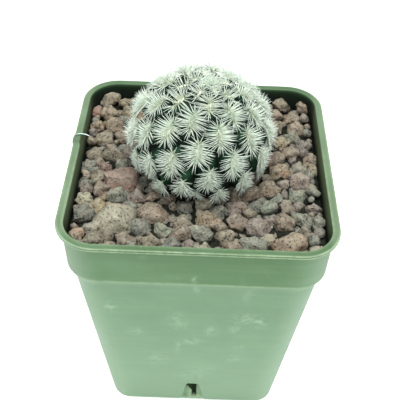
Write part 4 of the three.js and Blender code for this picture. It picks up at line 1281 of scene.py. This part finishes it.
def make_stem():
    """The ball, and below it the lower stem and tap root: uneven rings about the upright axis."""
    skin, faces, groove = stem_surface()
    add_piece("stem_ball", skin, faces, stem_skin(), "cactus", {"groove": groove})
    profile = np.array(ROOT_PROFILE[::-1])
    z = np.linspace(profile[0, 1], profile[-1, 1], ROOT_ROWS)
    radius = np.interp(z, profile[:, 1], profile[:, 0])
    rings = round_plant(radius[:, None], full_turn(ROOT_COLUMNS), z[:, None])
    uneven = 1.0 + hills(rings, ROOT_HILLS)[..., None]
    rings[..., :2] = PLANT[:2] + (rings[..., :2] - PLANT[:2]) * uneven
    points, faces = closed_skin(rings, (PLANT[0], PLANT[1], ROOT_TIP_Z), (PLANT[0], PLANT[1], ROOT_TOP_Z))
    add_piece("tap_root", points, faces, root_bark(), "cactus")


WOOL_ROWS, WOOL_COLUMNS = 13, 12
WOOL_LENGTH_SHARE, WOOL_HALF_WIDTH, WOOL_HEIGHT = 1.12, 0.62, 0.5
WOOL_HILLS = ((0.9, 61, 0.12),)


def make_wool():
    """A felt cushion along each crest: across it, half a width times the cosine of the turn and the root
    of 1 less the square of the share along; above the crest, a height times the sine in the same way;
    closed at both ends."""
    half = AREOLE_LENGTH * WOOL_LENGTH_SHARE * AREOLES[3] / 2
    share = np.sin(np.linspace(-np.pi / 2, np.pi / 2, WOOL_ROWS + 2))[1:-1]
    turn = full_turn(WOOL_COLUMNS)[:, None]
    sunk = AREOLE_RISE - CREST_RISE * (1.0 - WOOL_RISE)
    crest = crest_points([part[:, None] for part in AREOLES], share * half[:, None], sunk[:, None])
    direction, side, _, size = [part[:, None, None] for part in AREOLES]
    size = size[..., None]
    thick = np.sqrt(1.0 - share**2)[:, None, None] * size
    across = np.cos(turn) * side * WOOL_HALF_WIDTH
    above = np.sin(turn) * direction * WOOL_HEIGHT
    rings = crest[:, :, None] + thick * (across + above)
    rings += direction * hills(rings, WOOL_HILLS)[..., None] * size
    ends = [crest_points(AREOLES, sign * half, sunk) for sign in (-1, 1)]
    points, faces = many_skins(rings[:, :, ::-1], *ends)
    add_piece("areole_wool", points, faces, wool(), "cactus")


# The combs on every areole, each steeper than the one before: spines to each side, their rise from the
# skin and its unevenness in degrees, their length, how far the fan spreads and how far it is swept down
# in degrees, the share of them that grows in the crown, and the radius at the root.
COMB_SEED = 404
COMBS = {
    "low_comb": (16, 14.0, 3.0, 3.75, 15.0, 4.0, 0.42, 0.12),
    "middle_comb": (14, 32.0, 3.0, 3.4, 16.0, 5.0, 0.36, 0.115),
    "high_comb": (13, 53.0, 4.0, 2.7, 20.0, 8.0, 0.28, 0.115),
    "inner_comb": (22, 78.0, 13.0, 1.8, 40.0, 14.0, 0.2, 0.125),
}
COMB_LENGTH = 5.0
# A comb's end spines point along the crest, and combs low on the ball hang down by this many degrees more.
END_FAN, WIDEST_FAN, FAN_UNEVENNESS, HANG = 80.0, 95.0, 4.0, 24.0
# How far the roots lie to the side of the crest, also across it in the steepest comb.
ROOT_ASIDE, STEEPEST_COMB = 0.34, 70
# Combs from this rise on stand up longer in the crown.
STEEP_COMB, STEEP_STANDING, FLAT_STANDING = 50, 0.55, 0.15
YOUNG_GROWTH, LOW_GROWTH, TOP_GROWTH, HANGING_LOSS = 0.5, 0.95, 0.27, 0.08
# Where on the ball the combs change, in shares of its reach: from where and over how much, counted down
# from its middle for the two that are below and up for the others.
HANGING_BELOW, TURNED_UP_BELOW = (-0.05, 0.45), (0.0, 0.5)
AT_SIDE, ABOVE_LOW, HIGH_UP, IN_CROWN = (0.5, 0.4), (-0.3, 0.3), (-0.1, 0.45), (0.7, 0.25)
FACING_UP = np.array([0.0, 0.0, 0.6])
SIDE_RISE, LEAST_RISE, MOST_RISE = 0.35, 2.0, 89.0
# Spines are shorter towards the comb's ends, more so at its upper one, and of uneven length.
TAPER, UPPER_TAPER, HANGING_TAPER, TAPER_POWER, LENGTH_UNEVENNESS = 0.32, 0.12, 0.1, 2.5, 0.07
# Combs are shorter where they hang; some spines are left out there and on the old areoles.
SMALLEST_COMB, HANGING_SHORTER, OLD_SPARSE, HANGING_SPARSE, MOST_SPARSE = 0.5, 0.3, 0.5, 0.32, 0.5
# Spines end above the stones: a longer one is shortened, down to a smallest share of itself.
LOWEST_TIP_Z, TIP_STOP_Z, SHORTEST_SHARE = 74.7, 74.6, 0.35
SPINE_SHARES, SPINE_SIDES = np.array([0.0, 0.34, 0.66, 0.88]), 4
SPINE_BEND, SPINE_ROOT_DEPTH = 0.04, 0.05


def spines_of(rng, per_side, rise, uneven, length, spread, sweep, kept):
    """Comb spines of every areole: roots at even shares along the crest, ways to both sides that fan from
    up at its top end to down at its low end and rise from the skin. Low on the ball the whole fan hangs
    down more and is thinner, and in the crown only the kept share of them grows. Gives roots, ways,
    lengths and the ways they bend to."""
    direction, side, down, size = AREOLES
    x, z = direction[:, 0], direction[:, 2]
    facing = unit(direction + FACING_UP * rising(-z, *TURNED_UP_BELOW)[:, None])
    below = unit(down - (down * facing).sum(-1, keepdims=True) * facing)
    hanging = rising(-z, *HANGING_BELOW)[:, None]
    at_side = (rising(np.abs(x), *AT_SIDE) * rising(z, *ABOVE_LOW))[:, None]
    crown = rising(z, *IN_CROWN)[:, None]
    share, to_side = np.meshgrid(np.linspace(-1.0, 1.0, per_side), (-1.0, 1.0), indexing="ij")
    share, to_side = share.ravel(), to_side.ravel()
    shape = (len(size), len(share))

    share = np.clip(share + rng.normal(0, 0.3 / per_side, shape), -1, 1)
    fan = share * spread + np.sign(share) * (END_FAN - spread) * np.abs(share) ** 4.0
    fan = fan + sweep + HANG * hanging + rng.normal(0, FAN_UNEVENNESS, shape)
    fan = np.radians(np.clip(fan, -WIDEST_FAN, WIDEST_FAN))
    lift = rise * (1.0 + SIDE_RISE * at_side) + rng.normal(0, uneven, shape)
    lift = np.clip(lift, LEAST_RISE, MOST_RISE)
    around = side[:, None] * (to_side * np.cos(fan))[..., None] + below[:, None] * np.sin(fan)[..., None]
    way = unit(around + facing[:, None] * np.tan(np.radians(lift))[..., None])

    grown = (LOW_GROWTH + TOP_GROWTH * rising(z, *HIGH_UP)) * np.clip(0.2 + 0.95 * size, 0.0, 1.0)
    grown = np.where(IS_YOUNG, YOUNG_GROWTH, np.where(AREOLE_RISE < 0, LOW_GROWTH, grown))
    grown = grown * (1.0 - HANGING_LOSS * hanging[:, 0])
    end = TAPER + np.where(share < 0, UPPER_TAPER + HANGING_TAPER * hanging, 0.0)
    taper = 1.0 - end * np.abs(share) ** TAPER_POWER
    standing = 1.0 + crown * (STEEP_STANDING if rise > STEEP_COMB else FLAT_STANDING)
    long = length * grown[:, None] * taper * standing * (1 + rng.normal(0, LENGTH_UNEVENNESS, shape))

    crest_half = COMB_LENGTH * np.maximum(size, SMALLEST_COMB)[:, None]
    crest_half = crest_half * (1.0 - HANGING_SHORTER * hanging) / 2
    sunk = (AREOLE_RISE - CREST_RISE * SPINE_ROOT_RISE)[:, None]
    root = crest_points([part[:, None] for part in AREOLES], share * crest_half, sunk)
    crossing = -ROOT_ASIDE if rise > STEEPEST_COMB else 0.0
    aside = to_side * rng.uniform(crossing, ROOT_ASIDE, shape) * size[:, None]
    root = root + side[:, None] * aside[..., None]
    bend = np.broadcast_to(facing[:, None], way.shape)
    sparse = np.minimum(OLD_SPARSE * (AREOLE_RISE < 0)[:, None] + HANGING_SPARSE * hanging, MOST_SPARSE)
    grows = rng.uniform(0.0, 1.0, shape) < 1.0 - (1.0 - kept) * crown - sparse
    return root[grows], way[grows], long[grows], bend[grows]


def spine_skins(roots, ways, lengths, bends, radius):
    """Four-sided tapered tubes. A point at share t along lies at the root plus way times length t, less
    bend times length times 0.04 t squared; its radius is the root's times the 0.6th power of 1 less t."""
    t = SPINE_SHARES[None, :, None]
    long = lengths[:, None, None]
    middle = roots[:, None] + ways[:, None] * long * t - bends[:, None] * long * SPINE_BEND * t * t
    first = np.cross(ways, bends)
    first /= np.linalg.norm(first, axis=-1, keepdims=True) + 1e-9
    second = np.cross(ways, first)
    turn = full_turn(SPINE_SIDES)[:, None]
    round_way = np.cos(turn) * first[:, None] + np.sin(turn) * second[:, None]
    wide = radius * (1.0 - SPINE_SHARES) ** 0.6
    rings = middle[:, :, None] + round_way[:, None] * wide[None, :, None, None]
    tips = roots + ways * lengths[:, None] - bends * (lengths * SPINE_BEND)[:, None]
    points, faces = many_skins(rings, roots - ways * SPINE_ROOT_DEPTH, tips)
    along = with_poles(np.repeat(SPINE_SHARES, SPINE_SIDES), 0.0, 1.0)
    return points, faces, np.tile(along, len(roots))


def make_spines():
    """Four combs on every areole, none of them reaching into the stones."""
    rng = np.random.default_rng(COMB_SEED)
    bone = spine_bone()
    for name, (*comb, radius) in COMBS.items():
        roots, ways, lengths, bends = spines_of(rng, *comb)
        roots_z = roots[:, 2]
        tips_z = roots_z + ways[:, 2] * lengths
        room = np.clip((roots_z - TIP_STOP_Z) / np.maximum(roots_z - tips_z, 1e-6), SHORTEST_SHARE, 1.0)
        lengths = np.where(tips_z < LOWEST_TIP_Z, lengths * room, lengths)
        points, faces, along = spine_skins(roots, ways, lengths, bends, radius)
        add_piece(name, points, faces, bone, "cactus", {"along": along})


make_stem()
make_wool()
make_spines()

# ---- floor and light --------------------------------------------------------------------------

WHITE = (1, 1, 1, 1)
FLOOR_SIZE, FLOOR_Z = 6.0, -0.0002
FLOOR_COLOUR, FLOOR_ROUGHNESS, FLOOR_GLOW = (0.86, 0.87, 0.85, 1), 0.9, 0.5
WORLD_STRENGTH = 0.42
# Lights: place and the point each one faces, in metres, then the width of its square in metres, and watts.
LIGHTS = {
    "key_top": ((0.0, -0.08, 0.66), (0, 0, 0.06), 0.4, 5.6),
    "fill_front": ((0.1, -0.75, 0.3), (0, 0, 0.05), 0.7, 1.5),
}


def make_floor():
    """A plain pale floor, lit a little from within so that it stays pale round the pot."""
    bpy.ops.mesh.primitive_plane_add(size=FLOOR_SIZE, location=(0, 0, FLOOR_Z))
    floor = bpy.context.object
    floor.name = "floor"
    material, _, shader = new_material("floor_paper")
    shader.inputs["Base Color"].default_value = FLOOR_COLOUR
    shader.inputs["Roughness"].default_value = FLOOR_ROUGHNESS
    shader.inputs["Emission Color"].default_value = WHITE
    shader.inputs["Emission Strength"].default_value = FLOOR_GLOW
    floor.data.materials.append(material)


def add_light(name, place, aim, size, watts):
    """A soft square light at a place that faces a point."""
    data = bpy.data.lights.new(name, "AREA")
    data.size = size
    data.energy = watts
    light = bpy.data.objects.new(name, data)
    bpy.context.scene.collection.objects.link(light)
    light.location = place
    light.rotation_mode = "QUATERNION"
    light.rotation_quaternion = (Vector(aim) - Vector(place)).to_track_quat("-Z", "Y")


def set_world():
    """An even white studio all round, shown without any film look."""
    world = bpy.data.worlds.new("studio")
    world.use_nodes = True
    background = world.node_tree.nodes["Background"]
    background.inputs["Color"].default_value = WHITE
    background.inputs["Strength"].default_value = WORLD_STRENGTH
    bpy.context.scene.world = world
    bpy.context.scene.view_settings.view_transform = "Standard"
    bpy.context.scene.view_settings.look = "None"


make_floor()
for light_name, light_values in LIGHTS.items():
    add_light(light_name, *light_values)
set_world()
